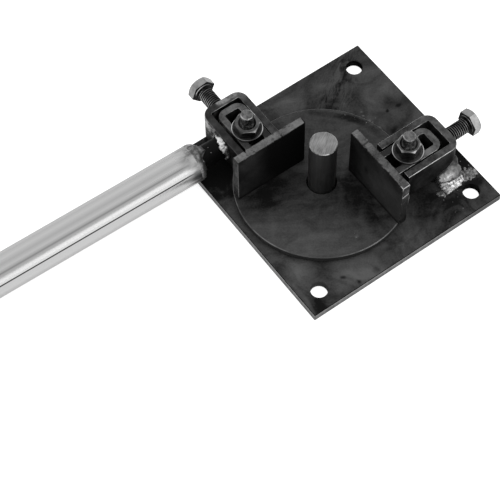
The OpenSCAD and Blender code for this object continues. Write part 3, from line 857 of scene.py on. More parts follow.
class BENDER_OT_base_plate(bpy.types.Operator):
    """Sheared plate with its bolt holes and the countersunk seat of the pin"""

    bl_idname = "bender.base_plate"
    bl_label = "Base plate"

    def execute(self, context):
        wear = context.scene.bender_sizes.edge_wear
        low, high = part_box("base_plate")
        half = (high.x - low.x) / 2
        bolt_r = MOUNTS["base_bolts"]["dims"]["hole_r_mm"] * MM
        holes = [(bolt_r, wear, centre) for centre in BOLT_HOLES]
        holes.append((half_width("pivot_pin"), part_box("pivot_pin_weld")[1].z, PIVOT.xy))
        bm = bmesh.new()
        square = Matrix.Rotation(math.radians(45), 3, "Z")

        def outline(inset, height):
            verts, edges = ring(bm, (half - inset) * math.sqrt(2), height, segments=4)
            bmesh.ops.rotate(bm, cent=(0, 0, 0), matrix=square, verts=verts)
            return edges

        levels = ((wear, high.z), (0, high.z - wear), (0, low.z + wear), (wear, low.z))
        rims = [outline(inset, height) for inset, height in levels]
        bridge(bm, rims)
        tops, bottoms = [rims[0]], [rims[-1]]
        for radius, sink, centre in holes:
            top_wear = min(wear, sink)
            steps = ((radius + top_wear, high.z), (radius, high.z - top_wear),
                     (radius, low.z + sink), (radius + sink, low.z))
            rows = [ring(bm, reach, height, 48, centre)[1] for reach, height in steps]
            bridge(bm, rows)
            tops.append(rows[0])
            bottoms.append(rows[-1])
        for rows in (tops, bottoms):
            bmesh.ops.triangle_fill(bm, use_beauty=True, edges=[edge for row in rows for edge in row])
        bmesh.ops.recalc_face_normals(bm, faces=bm.faces)
        rim = half - 0.5 * wear

        def on_rim(face):
            return max(map(abs, middle(face).xy)) > rim - wear and abs(face.normal.z) < 0.9

        paint(bm, 2, lambda face: abs(face.normal.z) < 0.3)
        paint(bm, 1, on_rim)
        paint(bm, 2, lambda face: on_rim(face) and abs(face.normal.z) > 0.3)
        dress("base_plate", "bolt_down_plate", bm, (plate_scale(), plate_edge(), painted_wall_shade()))
        return {"FINISHED"}


class BENDER_OT_turntable_disc(bpy.types.Operator):
    """Turned disc with a worn rim and a bore round the pin"""

    bl_idname = "bender.turntable_disc"
    bl_label = "Turntable disc"

    def execute(self, context):
        wear = 1.4 * context.scene.bender_sizes.edge_wear
        low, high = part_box("turntable_disc")
        rim = half_width("turntable_disc")
        bore = half_width("pivot_pin") + FIT
        lip = 1.2 * MM
        outline = ((bore, low.z), (rim - wear, low.z), (rim, low.z + wear), (rim, high.z - wear),
                   (rim - wear, high.z), (bore + lip, high.z), (bore, high.z - lip))
        bm = lathe(outline, 160, closed=True)
        paint(bm, 1, lambda face: 0.3 < face.normal.z < 0.9 and middle(face).xy.length > rim / 2)
        paint(bm, 2, lambda face: face.normal.z < 0.95 and face.material_index != 1)
        finishes = (disc_scale(), rim_line(), painted_wall_shade())
        dress("turntable_disc", "turntable_plate", bm, finishes, STATIONS["fixed"])
        return {"FINISHED"}


class BENDER_OT_former_pin(bpy.types.Operator):
    """Drawn bar with a sawn top that the bars are bent round"""

    bl_idname = "bender.former_pin"
    bl_label = "Former pin"

    def execute(self, context):
        low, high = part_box("pivot_pin")
        r = half_width("pivot_pin")
        edge, saw_mark = 0.6 * MM, 0.25 * MM
        outline = [(0, low.z), (r, low.z), (r, high.z - edge), (r - edge, high.z)]
        outline += [(r * share, high.z) for share in (0.7, 0.4, 0)]
        bm = lathe(outline, 72)
        roughen(bm, saw_mark, 300, lambda co: co.z > high.z - 0.8 * MM)
        limit(bm, 2, high=high.z)
        paint(bm, 1, lambda face: face.normal.z > 0.85)
        paint(bm, 2, lambda face: 0.3 < face.normal.z <= 0.85)
        dress("pivot_pin", "former_pin", bm, (drawn_bar(), sawn_end(), worn_edge_and_highlight()), STATIONS["fixed"])
        return {"FINISHED"}


def bent_strap(low, high, thickness, bend, corner):
    """Flat bar bent to a U that opens towards the pin, in its station's frame."""
    bm = bmesh.new()
    end, near, far = high.x - thickness, low.y + thickness, high.y - thickness
    outline = ((low.x, high.y), (high.x, high.y), (high.x, low.y), (low.x, low.y),
               (low.x, near), (end, near), (end, far), (low.x, far))
    face = bm.faces.new([bm.verts.new((x, y, low.z)) for x, y in outline])
    made = bmesh.ops.extrude_face_region(bm, geom=[face])["geom"]
    bmesh.ops.translate(bm, vec=(0, 0, high.z - low.z),
                        verts=[part for part in made if isinstance(part, bmesh.types.BMVert)])
    for x, radius, steps in ((high.x, bend, 10), (end, 1.2 * MM, 3)):
        upright = [edge for edge in bm.edges
                   if all(abs(vert.co.x - x) < 0.01 * MM for vert in edge.verts)
                   and abs(edge.verts[0].co.z - edge.verts[1].co.z) > MM]
        soften(bm, upright, radius, steps)
    rims = [edge for edge in sharp_edges(bm) if abs(edge.verts[0].co.z - edge.verts[1].co.z) < 0.01 * MM]
    soften(bm, rims, corner, 3)
    bmesh.ops.recalc_face_normals(bm, faces=bm.faces)
    return bm


def dress_strap(station, node, name, bm, edge):
    """Shows a bent strap, with a finish for its rolled edge, in place of a solid of a station."""
    paint(bm, 1, lambda face: abs(face.normal.z) > 0.95)
    paint(bm, 2, lambda face: 0.2 < face.normal.z <= 0.95)
    finishes = (bar_scale(), edge, worn_edge_and_highlight())
    dress(f"{station}_{node}", f"{station}_{name}", bm, finishes, STATIONS[station])


def bore_end(bm, high, radius, height):
    """Opens the screw's round hole through the closed end of a strap."""
    steps = 40
    near_end, near_height = 10 * MM, 5 * MM
    bm.normal_update()
    walls = [face for face in bm.faces
             if abs(face.normal.x) > 0.999 and abs(middle(face).z - height) < near_height
             and middle(face).x > high.x - near_end]
    mouths = []
    for face in walls:
        centre = Vector((*middle(face).xy, height))

        def around(vert):
            return (math.atan2(vert.co.z - height, vert.co.y - centre.y) + 0.1) % (2 * math.pi)

        corners = sorted(face.verts, key=around)
        bmesh.ops.delete(bm, geom=[face], context="FACES_ONLY")
        verts, _ = ring(bm, radius, 0, steps)
        stand = Matrix.Translation(centre) @ Matrix.Rotation(math.radians(90), 4, "Y")
        bmesh.ops.transform(bm, matrix=stand, verts=verts)
        mouth = sorted(verts, key=around)
        near = [min(range(steps), key=lambda i: (mouth[i].co - corner.co).length) for corner in corners]
        for i, corner in enumerate(corners):
            following = (i + 1) % len(corners)
            count = (near[following] - near[i]) % steps
            arc = [mouth[(near[following] - step) % steps] for step in range(count + 1)]
            bm.faces.new([corner, corners[following]] + arc)
        mouths.append(mouth)
    first, second = mouths
    for i in range(steps):
        bm.faces.new((first[i - 1], first[i], second[i], second[i - 1]))


def screw_frame(station):
    """Place of an adjusting screw, with Z along it from its tip, its length and its shank's radius."""
    node = f"{station}_adjust_screw"
    low, high = station_box(station, node)
    length = high.x - low.x
    place = (STATIONS[station] @ Matrix.Translation((low.x, (low.y + high.y) / 2, (low.z + high.z) / 2))
             @ Matrix.Rotation(math.radians(90), 4, "Y"))
    points = [place.inverted() @ vert.co for vert in frame["nodes"][node].data.vertices]
    return place, length, max(point.xy.length for point in points if point.z < length / 2)


class BENDER_OT_brackets(bpy.types.Operator):
    """The two outer bent straps that guide the jaws"""

    bl_idname = "bender.brackets"
    bl_label = "Brackets"

    def execute(self, context):
        sizes = context.scene.bender_sizes
        for station in STATIONS:
            low, high = station_box(station, f"{station}_bracket")
            screw, _, shank = screw_frame(station)
            bm = bent_strap(low, high, sizes.bracket_strap, sizes.bracket_bend, sizes.bar_corner)
            bore_end(bm, high, shank + FIT, screw.translation.z)
            dress_strap(station, "bracket", "guide_strap", bm, bar_edge())
        return {"FINISHED"}


class BENDER_OT_sliders(bpy.types.Operator):
    """The two inner bent straps that carry the jaws"""

    bl_idname = "bender.sliders"
    bl_label = "Sliders"

    def execute(self, context):
        sizes = context.scene.bender_sizes
        for station in STATIONS:
            low, high = station_box(station, f"{station}_jaw_slider")
            bm = bent_strap(low, high, sizes.slider_strap, sizes.slider_bend, sizes.bar_corner)
            dress_strap(station, "jaw_slider", "jaw_strap", bm, slider_edge())
        return {"FINISHED"}


class BENDER_OT_jaw_plates(bpy.types.Operator):
    """The two sheared plates that hold and push the bar"""

    bl_idname = "bender.jaw_plates"
    bl_label = "Jaw plates"

    def execute(self, context):
        wear = context.scene.bender_sizes.edge_wear
        finishes = (jaw_scale(), sheared_face(), soft_edge(), sheared_end())
        shear_mark, step_half, step_drop = 0.3 * MM, 0.15 * MM, 0.45 * MM
        for station, step_share in (("fixed", 0.73), ("swing", 0.1)):
            low, high = station_box(station, f"{station}_jaw_plate")
            size = high - low
            bm = bmesh.new()
            bmesh.ops.create_cube(bm, size=1, matrix=Matrix.Translation((low + high) / 2)
                                  @ Matrix.Diagonal((*size, 1)))
            step = low.y + step_share * size.y
            slice_across(bm, 1, spread(low.y, high.y, 140) + [step - step_half, step + step_half])
            slice_across(bm, 2, spread(low.z, high.z, 9))
            for face in soften(bm, sharp_edges(bm), wear, 2, clamp=True):
                face.material_index = 2
            paint(bm, 1, lambda face: face.material_index == 0 and abs(face.normal.z) > 0.9)
            paint(bm, 3, lambda face: face.material_index == 0 and abs(face.normal.y) > 0.9)
            roughen(bm, shear_mark, 330, lambda co: co.z > high.z - 1.2 * MM or abs(co.y - low.y) < MM)
            self.chip(bm, low.x, 1, high.z, low.y)
            self.chip(bm, high.x, -1, high.z, step)
            if station == "fixed":
                for vert in bm.verts:
                    if vert.co.y > step and vert.co.z > high.z - MM:
                        vert.co.z -= step_drop
            dress(f"{station}_jaw_plate", f"{station}_jaw", bm, finishes, STATIONS[station])
        return {"FINISHED"}

    def chip(self, bm, side, inward, top, start):
        """Breaks small notches out of the top edge at one side, from a place along it."""
        reach = 1.2 * MM
        for vert in bm.verts:
            if abs(vert.co.x - side) < reach and vert.co.z > top - reach and vert.co.y > start:
                depth = max(0, noise.noise(Vector((side, vert.co.y, 0)) * 380) - 0.2) * 4 * MM
                vert.co += Vector((0.8 * inward * depth, 0, -0.7 * depth))


class BENDER_OT_hidden_plates(bpy.types.Operator):
    """Finish of the plain plates under the brackets and of the weld under the pin"""

    bl_idname = "bender.hidden_plates"
    bl_label = "Plates under the brackets"

    def execute(self, context):
        plates = ("fixed_floor_plate", "swing_floor_plate", "fixed_bracket_foot")
        for node in (*plates, "pivot_pin_weld"):
            finishes = frame["nodes"][node].data.materials
            finishes.clear()
            finishes.append(bar_scale() if node in plates else weld_grey())
        return {"FINISHED"}


def thread(radius, depth, pitch, low, high, crest, steps=40):
    """Screw thread about Z: a ridged outline that climbs one pitch in a turn, cut level at both ends."""
    bm = bmesh.new()
    ridge = ((0.0, depth), (0.16, depth), (0.45, 0.0), (0.7, 0.0))
    count = math.ceil((high - low) / pitch) + 3
    verts = [bm.verts.new((radius - dip, 0, low + pitch * (turn - 1.5 + share)))
             for turn in range(count) for share, dip in ridge]
    edges = [bm.edges.new(pair) for pair in zip(verts, verts[1:])]
    bmesh.ops.spin(bm, geom=verts + edges, cent=(0, 0, 0), axis=UP, dvec=(0, 0, pitch / steps),
                   angle=2 * math.pi, steps=steps)
    bmesh.ops.remove_doubles(bm, verts=bm.verts, dist=0.002 * MM)
    for height, normal in ((low, -UP), (high, UP)):
        cut(bm, (0, 0, height), normal, clear_outer=True)
    close_holes(bm)
    bmesh.ops.recalc_face_normals(bm, faces=bm.faces)
    paint(bm, crest, lambda face: min(vert.co.xy.length for vert in face.verts) > radius - 0.3 * depth)
    return bm


def add_shape(bm, other):
    """Puts a second shape into the same mesh."""
    mesh = bpy.data.meshes.new("part")
    other.to_mesh(mesh)
    other.free()
    bm.from_mesh(mesh)
    bpy.data.meshes.remove(mesh)


def hexagon_of(node, axis):
    """Width across the flats of a solid's hexagon, and the angle at which it stands about its axis."""
    points = [axis.inverted() @ vert.co for vert in frame["nodes"][node].data.vertices]
    corner = max((point.xy for point in points), key=lambda point: point.length)
    return corner.length * math.sqrt(3), math.atan2(corner.y, corner.x)


def upright_axis(node):
    """Place on the floor under a round upright solid, and the solid's lowest and highest corner."""
    low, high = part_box(node)
    return Matrix.Translation(((low.x + high.x) / 2, (low.y + high.y) / 2, 0)), low, high


def hex_lathe(outline, width, turn, dips, closed=False):
    """Turns an outline about Z and draws its points at the full width in to a hexagon's sides.

    The corners of the hexagon dip by a chamfer at each height that dips names: 1 up, -1 down, 0 not at all.
    """
    bm = lathe(outline, 72, closed)
    face_r = width / 2 - HEX_CHAMFER
    for vert in bm.verts:
        if vert.co.xy.length > 0.9 * width:
            angle = math.atan2(vert.co.y, vert.co.x)
            radius = width / 2 / math.cos((angle % math.radians(60)) - math.radians(30))
            dip = dips[min(dips, key=lambda height: abs(height - vert.co.z))]
            slope = (radius - face_r) * math.tan(math.radians(30))
            vert.co = round_point(radius, angle, vert.co.z + dip * slope)
    bmesh.ops.rotate(bm, cent=(0, 0, 0), matrix=Matrix.Rotation(turn, 3, "Z"), verts=bm.verts)
    bmesh.ops.recalc_face_normals(bm, faces=bm.faces)
    return bm


class BENDER_OT_studs(bpy.types.Operator):
    """Clamp studs, threaded as far as the nuts travel"""

    bl_idname = "bender.studs"
    bl_label = "Clamp studs"

    def execute(self, context):
        sizes = context.scene.bender_sizes
        for station in STATIONS:
            axis, low, high = upright_axis(f"{station}_clamp_stud")
            thread_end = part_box(f"{station}_clamp_nut")[1].z + 3 * MM
            r = half_width(f"{station}_clamp_stud")
            bm = thread(r, 0.6 * sizes.thread_depth, sizes.stud_pitch, low.z, thread_end, 0)
            tip = 1.2 * MM
            outline = [(0, thread_end - MM), (r - 0.3 * MM, thread_end - MM)]
            outline += [(r - 0.1 * MM, height) for height in spread(thread_end, high.z - 2 * tip, 8)]
            outline += [(r, high.z - 1.6 * tip), (r - 0.35 * tip, high.z - 0.7 * tip), (r - tip, high.z)]
            outline += [((r - tip) * share, high.z) for share in (0.66, 0.33, 0)]
            top = lathe(outline, 96)
            roughen(top, 0.16 * MM, 700, lambda co: co.z > thread_end)
            limit(top, 2, high=high.z)
            paint(top, 1, lambda face: face.normal.z > 0.8)
            paint(top, 2, lambda face: 0.3 < face.normal.z <= 0.8 and middle(face).z > high.z - tip)
            add_shape(bm, top)
            finishes = (stud_side(), stud_top(), worn_edge_and_highlight())
            dress(f"{station}_clamp_stud", f"{station}_stud", bm, finishes, axis)
        return {"FINISHED"}


class BENDER_OT_nuts_and_washers(bpy.types.Operator):
    """Chamfered clamp nuts on round washers"""

    bl_idname = "bender.nuts_and_washers"
    bl_label = "Clamp nuts and washers"

    def execute(self, context):
        for station in STATIONS:
            stud_r = half_width(f"{station}_clamp_stud")
            self.nut(f"{station}_nut", f"{station}_clamp_nut", stud_r + FIT)
            self.washer(f"{station}_washer", f"{station}_clamp_washer", stud_r + 6 * FIT)
        return {"FINISHED"}

    def nut(self, name, node, bore_r):
        axis, low, high = upright_axis(node)
        width, turn = hexagon_of(node, axis)
        face_r = width / 2 - HEX_CHAMFER
        sink = 1.7 * MM
        outline = ((bore_r + sink, low.z), (face_r, low.z), (width, low.z), (width, high.z), (face_r, high.z),
                   (bore_r + sink, high.z), (bore_r, high.z - sink), (bore_r, low.z + sink))
        bm = hex_lathe(outline, width, turn, {low.z: 1, high.z: -1}, closed=True)
        paint(bm, 1, lambda face: 0.3 < face.normal.z < 0.97)
        paint(bm, 2, lambda face: face.normal.z >= 0.97)
        paint(bm, 3, lambda face: middle(face).xy.length < bore_r + 0.8 * sink)
        dress(node, name, bm, (nut_steel(), worn_edge_and_highlight(), nut_top(), painted_wall_shade()), axis, sharp=20)

    def washer(self, name, node, bore):
        axis, low, high = upright_axis(node)
        rim, soft = (high.x - low.x) / 2, 0.7 * MM
        outline = [(bore, low.z), (rim - 0.3 * soft, low.z), (rim, low.z + 0.3 * soft), (rim, high.z - soft),
                   (rim - 0.3 * soft, high.z - 0.3 * soft), (rim - soft, high.z), (bore, high.z)]
        bm = lathe(outline, 96, closed=True)
        paint(bm, 1, lambda face: middle(face).xy.length > rim - soft)
        dress(node, name, bm, (nut_steel(), washer_rim()), axis)


class BENDER_OT_adjust_screws(bpy.types.Operator):
    """Threaded screws with hexagon heads that set the jaws"""

    bl_idname = "bender.adjust_screws"
    bl_label = "Adjusting screws"

    def execute(self, context):
        sizes = context.scene.bender_sizes
        tip, seat, seat_inset = 1.5 * MM, 0.6 * MM, 1.6 * MM
        finishes = (thread_steel(), bolt_steel(), crest_steel(), bar_scale())
        for station in STATIONS:
            node = f"{station}_adjust_screw"
            axis, length, r = screw_frame(station)
            width, turn = hexagon_of(node, axis)
            under = length - sizes.head_height
            neck = under - seat - sizes.screw_pitch
            bm = thread(r, sizes.thread_depth, sizes.screw_pitch, tip, neck, 2)
            shank_r = r - sizes.thread_depth
            shank = lathe([(0, neck - MM), (shank_r, neck - MM), (shank_r, under), (0, under)], 40)
            paint(shank, 3, lambda face: True)
            add_shape(bm, shank)
            add_shape(bm, lathe([(0, 0), (r - tip, 0), (shank_r, tip + MM), (0, tip + MM)], 40))
            face_r = width / 2 - HEX_CHAMFER
            seat_r = face_r - seat_inset
            outline = ((0, under - seat), (seat_r - 0.3 * MM, under - seat), (seat_r, under), (width, under),
                       (width, length), (face_r, length), (face_r / 2, length), (0, length))
            head = hex_lathe(outline, width, turn, {under: 0, length: -1})
            paint(head, 3, lambda face: face.normal.z < -0.5)
            paint(head, 1, lambda face: middle(face).z > under + 0.05 * MM)
            paint(head, 2, lambda face: abs(middle(face).z - under + seat / 2) < 0.1 * MM)
            add_shape(bm, head)
            dress(node, f"{station}_screw", bm, finishes, axis, sharp=20)
        return {"FINISHED"}


def handle_place(run):
    """Frame with Z along the handle, at a distance along it."""
    turn = UP.rotation_difference(HANDLE_AXIS).to_matrix().to_4x4()
    return Matrix.Translation(HANDLE_POINT + run * HANDLE_AXIS) @ turn


class BENDER_OT_handle(bpy.types.Operator):
    """Polished tube and the dark stub bar that carries it"""

    bl_idname = "bender.handle"
    bl_label = "Handle"

    def execute(self, context):
        start, end = handle_span("handle_tube")
        length = end - start
        wall, lip, hammer_mark = 3.2 * MM, 0.8 * MM, 0.12 * MM
        bore = TUBE_R - wall
        outline = [(bore, 0), (TUBE_R - lip, 0), (TUBE_R, lip), (TUBE_R, length - lip),
                   (TUBE_R - 0.3 * lip, length - 0.3 * lip), (TUBE_R - lip, length), (bore + lip, length),
                   (bore, length - lip)]
        bm = lathe(outline, 96, closed=True)
        dress("handle_tube", "tube_handle", bm, (tube_polish(),), handle_place(start))
        start, end = handle_span("handle_stub")
        length = end - start
        r = half_width("handle_stub", 2)
        bm = lathe([(0, 0), (r, 0), (r, length - MM), (r - MM, length), (0, length)], 72)
        slice_across(bm, 2, spread(0, length, 24))
        roughen(bm, hammer_mark, 160)
        dress("handle_stub", "stub_bar", bm, (stub_scale(),), handle_place(start))
        return {"FINISHED"}


def fuse(blobs, voxel, relax=2):
    """Melts a heap of (centre, radius, stretch) drops into one skin."""
    bm = bmesh.new()
    for centre, radius, stretch in blobs:
        place = Matrix.Translation(centre) @ Matrix.Diagonal((*stretch, 1))
        bmesh.ops.create_icosphere(bm, subdivisions=3, radius=radius, matrix=place)
    mesh = bpy.data.meshes.new("drops")
    bm.to_mesh(mesh)
    heap = put("drops", mesh)
    melt = heap.modifiers.new("Melt", "REMESH")
    melt.mode = "VOXEL"
    melt.voxel_size = voxel
    melted = heap.evaluated_get(bpy.context.evaluated_depsgraph_get())
    bm.clear()
    bm.from_mesh(melted.to_mesh())
    melted.to_mesh_clear()
    bpy.data.objects.remove(heap)
    bpy.data.meshes.remove(mesh)
    for _ in range(relax):
        bmesh.ops.smooth_vert(
            bm, verts=bm.verts, factor=0.5, use_axis_x=True, use_axis_y=True, use_axis_z=True)
    return bm


def bead(start, end, radius, stretch=(1, 1, 1), pace=0.85, wander=0.12, seed=1):
    """Row of overlapping drops from one point to another."""
    rng = random.Random(seed)
    count = max(2, round((end - start).length / (radius * pace)))
    drops = []
    for i in range(count + 1):
        shift = Vector((rng.uniform(-1, 1), rng.uniform(-1, 1), rng.uniform(-1, 1))) * radius * wander
        drops.append((start.lerp(end, i / count) + shift, radius * rng.uniform(0.9, 1.08), stretch))
    return drops


def cut_level(bm, height):
    """Cuts away what lies under a level plane and closes the cut."""
    cut(bm, (0, 0, height), UP, clear_inner=True)
    close_holes(bm)


class BENDER_OT_standing_weld(bpy.types.Operator):
    """Large weld that holds the standing bracket: a smooth pool, a rippled toe and a rough tail"""

    bl_idname = "bender.standing_weld"
    bl_label = "Weld of the standing bracket"

    def execute(self, context):
        sizes = context.scene.bender_sizes
        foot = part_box("fixed_bracket_foot")
        floor = foot[0].z
        corner = standing_corner()
        rng = random.Random(5)
        # Rows of drops: start and end from the corner and radius in millimetres, stretch, pace, wander, seed.
        rows = (
            ((-18, -1, 4), (-7, -1.5, 5), 8.2, (1, 1, 0.95), 0.3, 0.02, 1),
            ((-20, -5.5, 0.5), (-5, -6, 0.5), 6.4, (1, 1, 0.85), 0.3, 0.02, 1),
            ((-26, -12, -0.3), (-4, -11, 0.2), 2.1, (0.4, 1.2, 1), 0.4, 0.12, 3),
            ((-27, -14.4, -0.4), (-8, -13.6, -0.2), 1.5, (0.5, 1.2, 0.9), 0.5, 0.16, 4),
            ((-9, 1, 9), (-5, 3, 14), 5.4, (1, 1, 1), 0.3, 0.02, 1),
        )
        drops = []
        for start, end, radius, *manner in rows:
            drops += bead(corner + mm(*start), corner + mm(*end), radius * MM, *manner)
        hole = BOLT_REACH * Vector((1, -1))
        hole_clear, edge = 11 * MM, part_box("base_plate")[1].x - 2 * MM
        for _ in range(120):
            place = corner + mm(rng.gauss(4, 4.2), rng.gauss(-11, 4), rng.uniform(-1.5, -0.1))
            if (place.xy - hole).length > hole_clear and place.x < edge:
                drops.append((place, rng.uniform(0.7, 1.9) * MM, (1, 1, 1)))
        for _ in range(7):
            place = mm(-rng.uniform(26, 32), -rng.uniform(9, 13), 0)
            drops.append((corner + place, rng.uniform(1.2, 2.2) * MM, (1, 1, 0.6)))
        back = [Vector((x, foot[1].y, floor + MM)) for x in (foot[0].x + MM, foot[1].x - MM)]
        drops += bead(*back, 2.6 * MM)
        bm = fuse(drops, sizes.bead_voxel)
        cut_level(bm, floor)
        pool_y = corner.y - 9.4 * MM
        roughen(bm, 0.3 * MM, 460, lambda co: co.y < pool_y or co.x > corner.x - 3 * MM)
        limit(bm, 2, low=floor)

        def rough(face):
            x, y, _ = (middle(face) - corner) / MM
            return (x > -3 and y < -5) or x < -26 or y > 5

        paint(bm, 1, lambda face: middle(face).y < pool_y)
        paint(bm, 2, rough)
        finishes = (pool_metal(), toe_metal(), weld_grey())
        dress("fixed_bracket_weld", "standing_weld", bm, finishes, sharp=80)
        return {"FINISHED"}


class BENDER_OT_handle_welds(bpy.types.Operator):
    """Bead that holds the stub to the bracket and the taper that closes the tube onto the stub"""

    bl_idname = "bender.handle_welds"
    bl_label = "Handle welds"

    def execute(self, context):
        sizes = context.scene.bender_sizes
        self.arm_bead(sizes)
        self.taper()
        return {"FINISHED"}

    def arm_bead(self, sizes):
        r = half_width("handle_stub", 2)
        rng = random.Random(8)
        drops = []
        count = 30
        for i in range(count):
            angle = 2 * math.pi * i / count
            heavy = max(0, math.cos(angle + math.radians(34))) ** 3
            size = (rng.uniform(1.5, 2.0) + heavy * rng.uniform(0.9, 1.6)) * MM
            reach = r + (0.5 + heavy * rng.uniform(0.2, 1.2)) * MM
            run = (rng.uniform(0.4, 1.4) + heavy * rng.uniform(0.6, 2.6)) * MM
            drops.append((round_point(reach, angle, run), size, (1, 1, 0.9 + 0.5 * heavy)))
        bm = fuse(drops, sizes.bead_voxel, relax=1)
        cut_level(bm, 0.2 * MM)
        roughen(bm, 0.35 * MM, 460)
        place = handle_place(handle_span("stub_weld")[0])
        dress("stub_weld", "stub_bead", bm, (bead_metal(),), place, sharp=80)

    def lobe(self, angle):
        """How far the taper's edge runs out over the stub, in millimetres, by the angle from its top."""
        edge = ((-180, 0), (-90, -2.5), (-34, -2.5), (-20, 0), (-8, 3.2), (10, 3), (34, 1.5), (180, 0))
        for (start, first), (end, second) in zip(edge, edge[1:]):
            if start <= angle <= end:
                return first + (second - first) * (angle - start) / (end - start)
        raise ValueError(f"no such angle: {angle}")

    def taper(self):
        start, end = handle_span("handle_weld")
        r = half_width("handle_stub", 2)
        length = end - start
        skin, reach = 0.12 * MM, 4 * MM
        outline = [(r - 0.5 * MM, -0.3 * MM), (r + 1.2 * MM, 0)]
        outline += [(r + (TUBE_R - r) * math.sin(math.pi / 2 * share) ** 0.9, length * share)
                    for share in (0.15, 0.3, 0.45, 0.6, 0.72, 0.84, 0.93)]
        outline += [(TUBE_R + skin, length), (TUBE_R + skin, length + 0.4 * reach),
                    (TUBE_R - skin, length + reach)]
        bm = lathe(outline, 120, closed=True)
        bmesh.ops.subdivide_edges(bm, edges=bm.edges, cuts=1, use_grid_fill=True)
        for vert in bm.verts:
            share = min(1, max(0, 1.25 - vert.co.z / length))
            bump = noise.noise(vert.co * 260) * 0.8 + noise.noise(vert.co * 620) * 0.4
            vert.co.xy *= 1 + share * bump * 1.4 * MM / vert.co.xy.length
            angle = math.degrees(math.atan2(vert.co.y, vert.co.x))
            vert.co.z -= share ** 2 * (self.lobe(angle) + noise.noise(vert.co * 240) * 0.7) * MM
        dress("handle_weld", "tube_taper", bm, (taper_steel(),), handle_place(start), sharp=80)


class BENDER_OT_strap_beads(bpy.types.Operator):
    """Small beads at the feet of the turning bracket and behind the jaws"""

    bl_idname = "bender.strap_beads"
    bl_label = "Strap beads"

    def execute(self, context):
        sizes = context.scene.bender_sizes
        inner, outer = station_box("swing", "swing_bracket")
        low, high = station_box("swing", "swing_bracket_weld")
        reach = math.sqrt((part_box("turntable_disc")[1].x - PIVOT.x) ** 2 - (outer.y + 3 * MM) ** 2)
        drops = []
        for y, end, radius, seed in ((inner.y, high.x - MM, 3, 11), (outer.y, reach - 2 * MM, 2.6, 12)):
            ends = (Vector((x, y, low.z)) for x in (low.x + MM, end))
            drops += bead(*ends, radius * MM, seed=seed)
        bm = fuse(drops, sizes.bead_voxel)
        cut_level(bm, low.z)
        roughen(bm, 0.3 * MM, 420)
        dress("swing_bracket_weld", "turning_bracket_bead", bm, (weld_grey(),), STATIONS["swing"], sharp=80)
        for station in STATIONS:
            low, high = station_box(station, f"{station}_jaw_weld")
            strap = station_box(station, f"{station}_jaw_slider")
            drops = []
            for i, side in enumerate((strap[0].y, strap[1].y)):
                ends = (Vector((low.x, side, z)) for z in (low.z + 2 * MM, high.z - 2 * MM))
                drops += bead(*ends, 2.6 * MM, seed=20 + i)
            bm = fuse(drops, sizes.bead_voxel)
            roughen(bm, 0.3 * MM, 420)
            limit(bm, 0, low=low.x - 0.2 * MM)
            name = f"{station}_jaw_bead"
            dress(f"{station}_jaw_weld", name, bm, (weld_grey(),), STATIONS[station], sharp=80)
        return {"FINISHED"}


class BENDER_OT_spatter(bpy.types.Operator):
    """Drops of weld metal that stuck to the plate, the disc and the stub"""

    bl_idname = "bender.spatter"
    bl_label = "Spatter"

    def execute(self, context):
        count = context.scene.bender_sizes.spatter_count
        plate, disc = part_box("base_plate")[1].z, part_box("turntable_disc")[1].z
        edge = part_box("base_plate")[1].x - 3 * MM
        rim = half_width("turntable_disc") - 3 * MM
        hole_clear, rim_clear = 10 * MM, 6 * MM

        def on_plate(place):
            inside = max(map(abs, place)) < edge
            clear = min((place - hole).length for hole in BOLT_HOLES)
            return inside and clear > hole_clear and (place - PIVOT.xy).length > rim + rim_clear

        def on_disc(place):
            return (place - PIVOT.xy).length < rim

        beside = (mm(76, -80, 0), mm(92, -62, 0), mm(56, -76, 0), mm(66, -84, 0))
        self.drops("plate_spatter", "base", beside, 7 * MM, plate, count, 31, on_plate)
        self.drops("disc_spatter", "turntable", (mm(50, 24, 0), mm(44, 32, 0), mm(-28, -61, 0)), 5 * MM, disc,
                   count // 2, 32, on_disc)
        self.arm_drops(count // 2)
        return {"FINISHED"}

    def drops(self, name, body, centres, spread_r, height, count, seed, inside):
        rng = random.Random(seed)
        bm = bmesh.new()
        for i in range(count):
            shift = Vector((rng.gauss(0, spread_r), rng.gauss(0, spread_r), height))
            place = centres[i % len(centres)] + shift
            if inside(place.xy):
                self.drop(bm, place, rng, (1, 1, 0.6))
        self.finish_drops(name, body, bm)

    def arm_drops(self, count):
        rng = random.Random(33)
        r = half_width("handle_stub", 2)
        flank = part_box("swing_bracket")[0].x
        bm = bmesh.new()
        for _ in range(count // 4):
            angle = math.radians(rng.uniform(-60, 45))
            along = handle_span("handle_stub")[0] + rng.uniform(4, 20) * MM
            self.drop(bm, handle_place(along) @ round_point(r, angle), rng, (1, 1, 1))
        for _ in range(count):
            place = Vector((flank, rng.uniform(66, 90) * MM, rng.uniform(34, 43) * MM))
            self.drop(bm, place, rng, (0.6, 1, 1))
        self.finish_drops("arm_spatter", "turntable", bm)

    def drop(self, bm, place, rng, stretch):
        bmesh.ops.create_icosphere(bm, subdivisions=2, radius=rng.uniform(0.2, 0.6) * MM,
                                   matrix=Matrix.Translation(place) @ Matrix.Diagonal((*stretch, 1)))

    def finish_drops(self, name, body, bm):
        piece = make_piece(name, bm, (weld_grey(),), sharp=80)
        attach(piece, body)


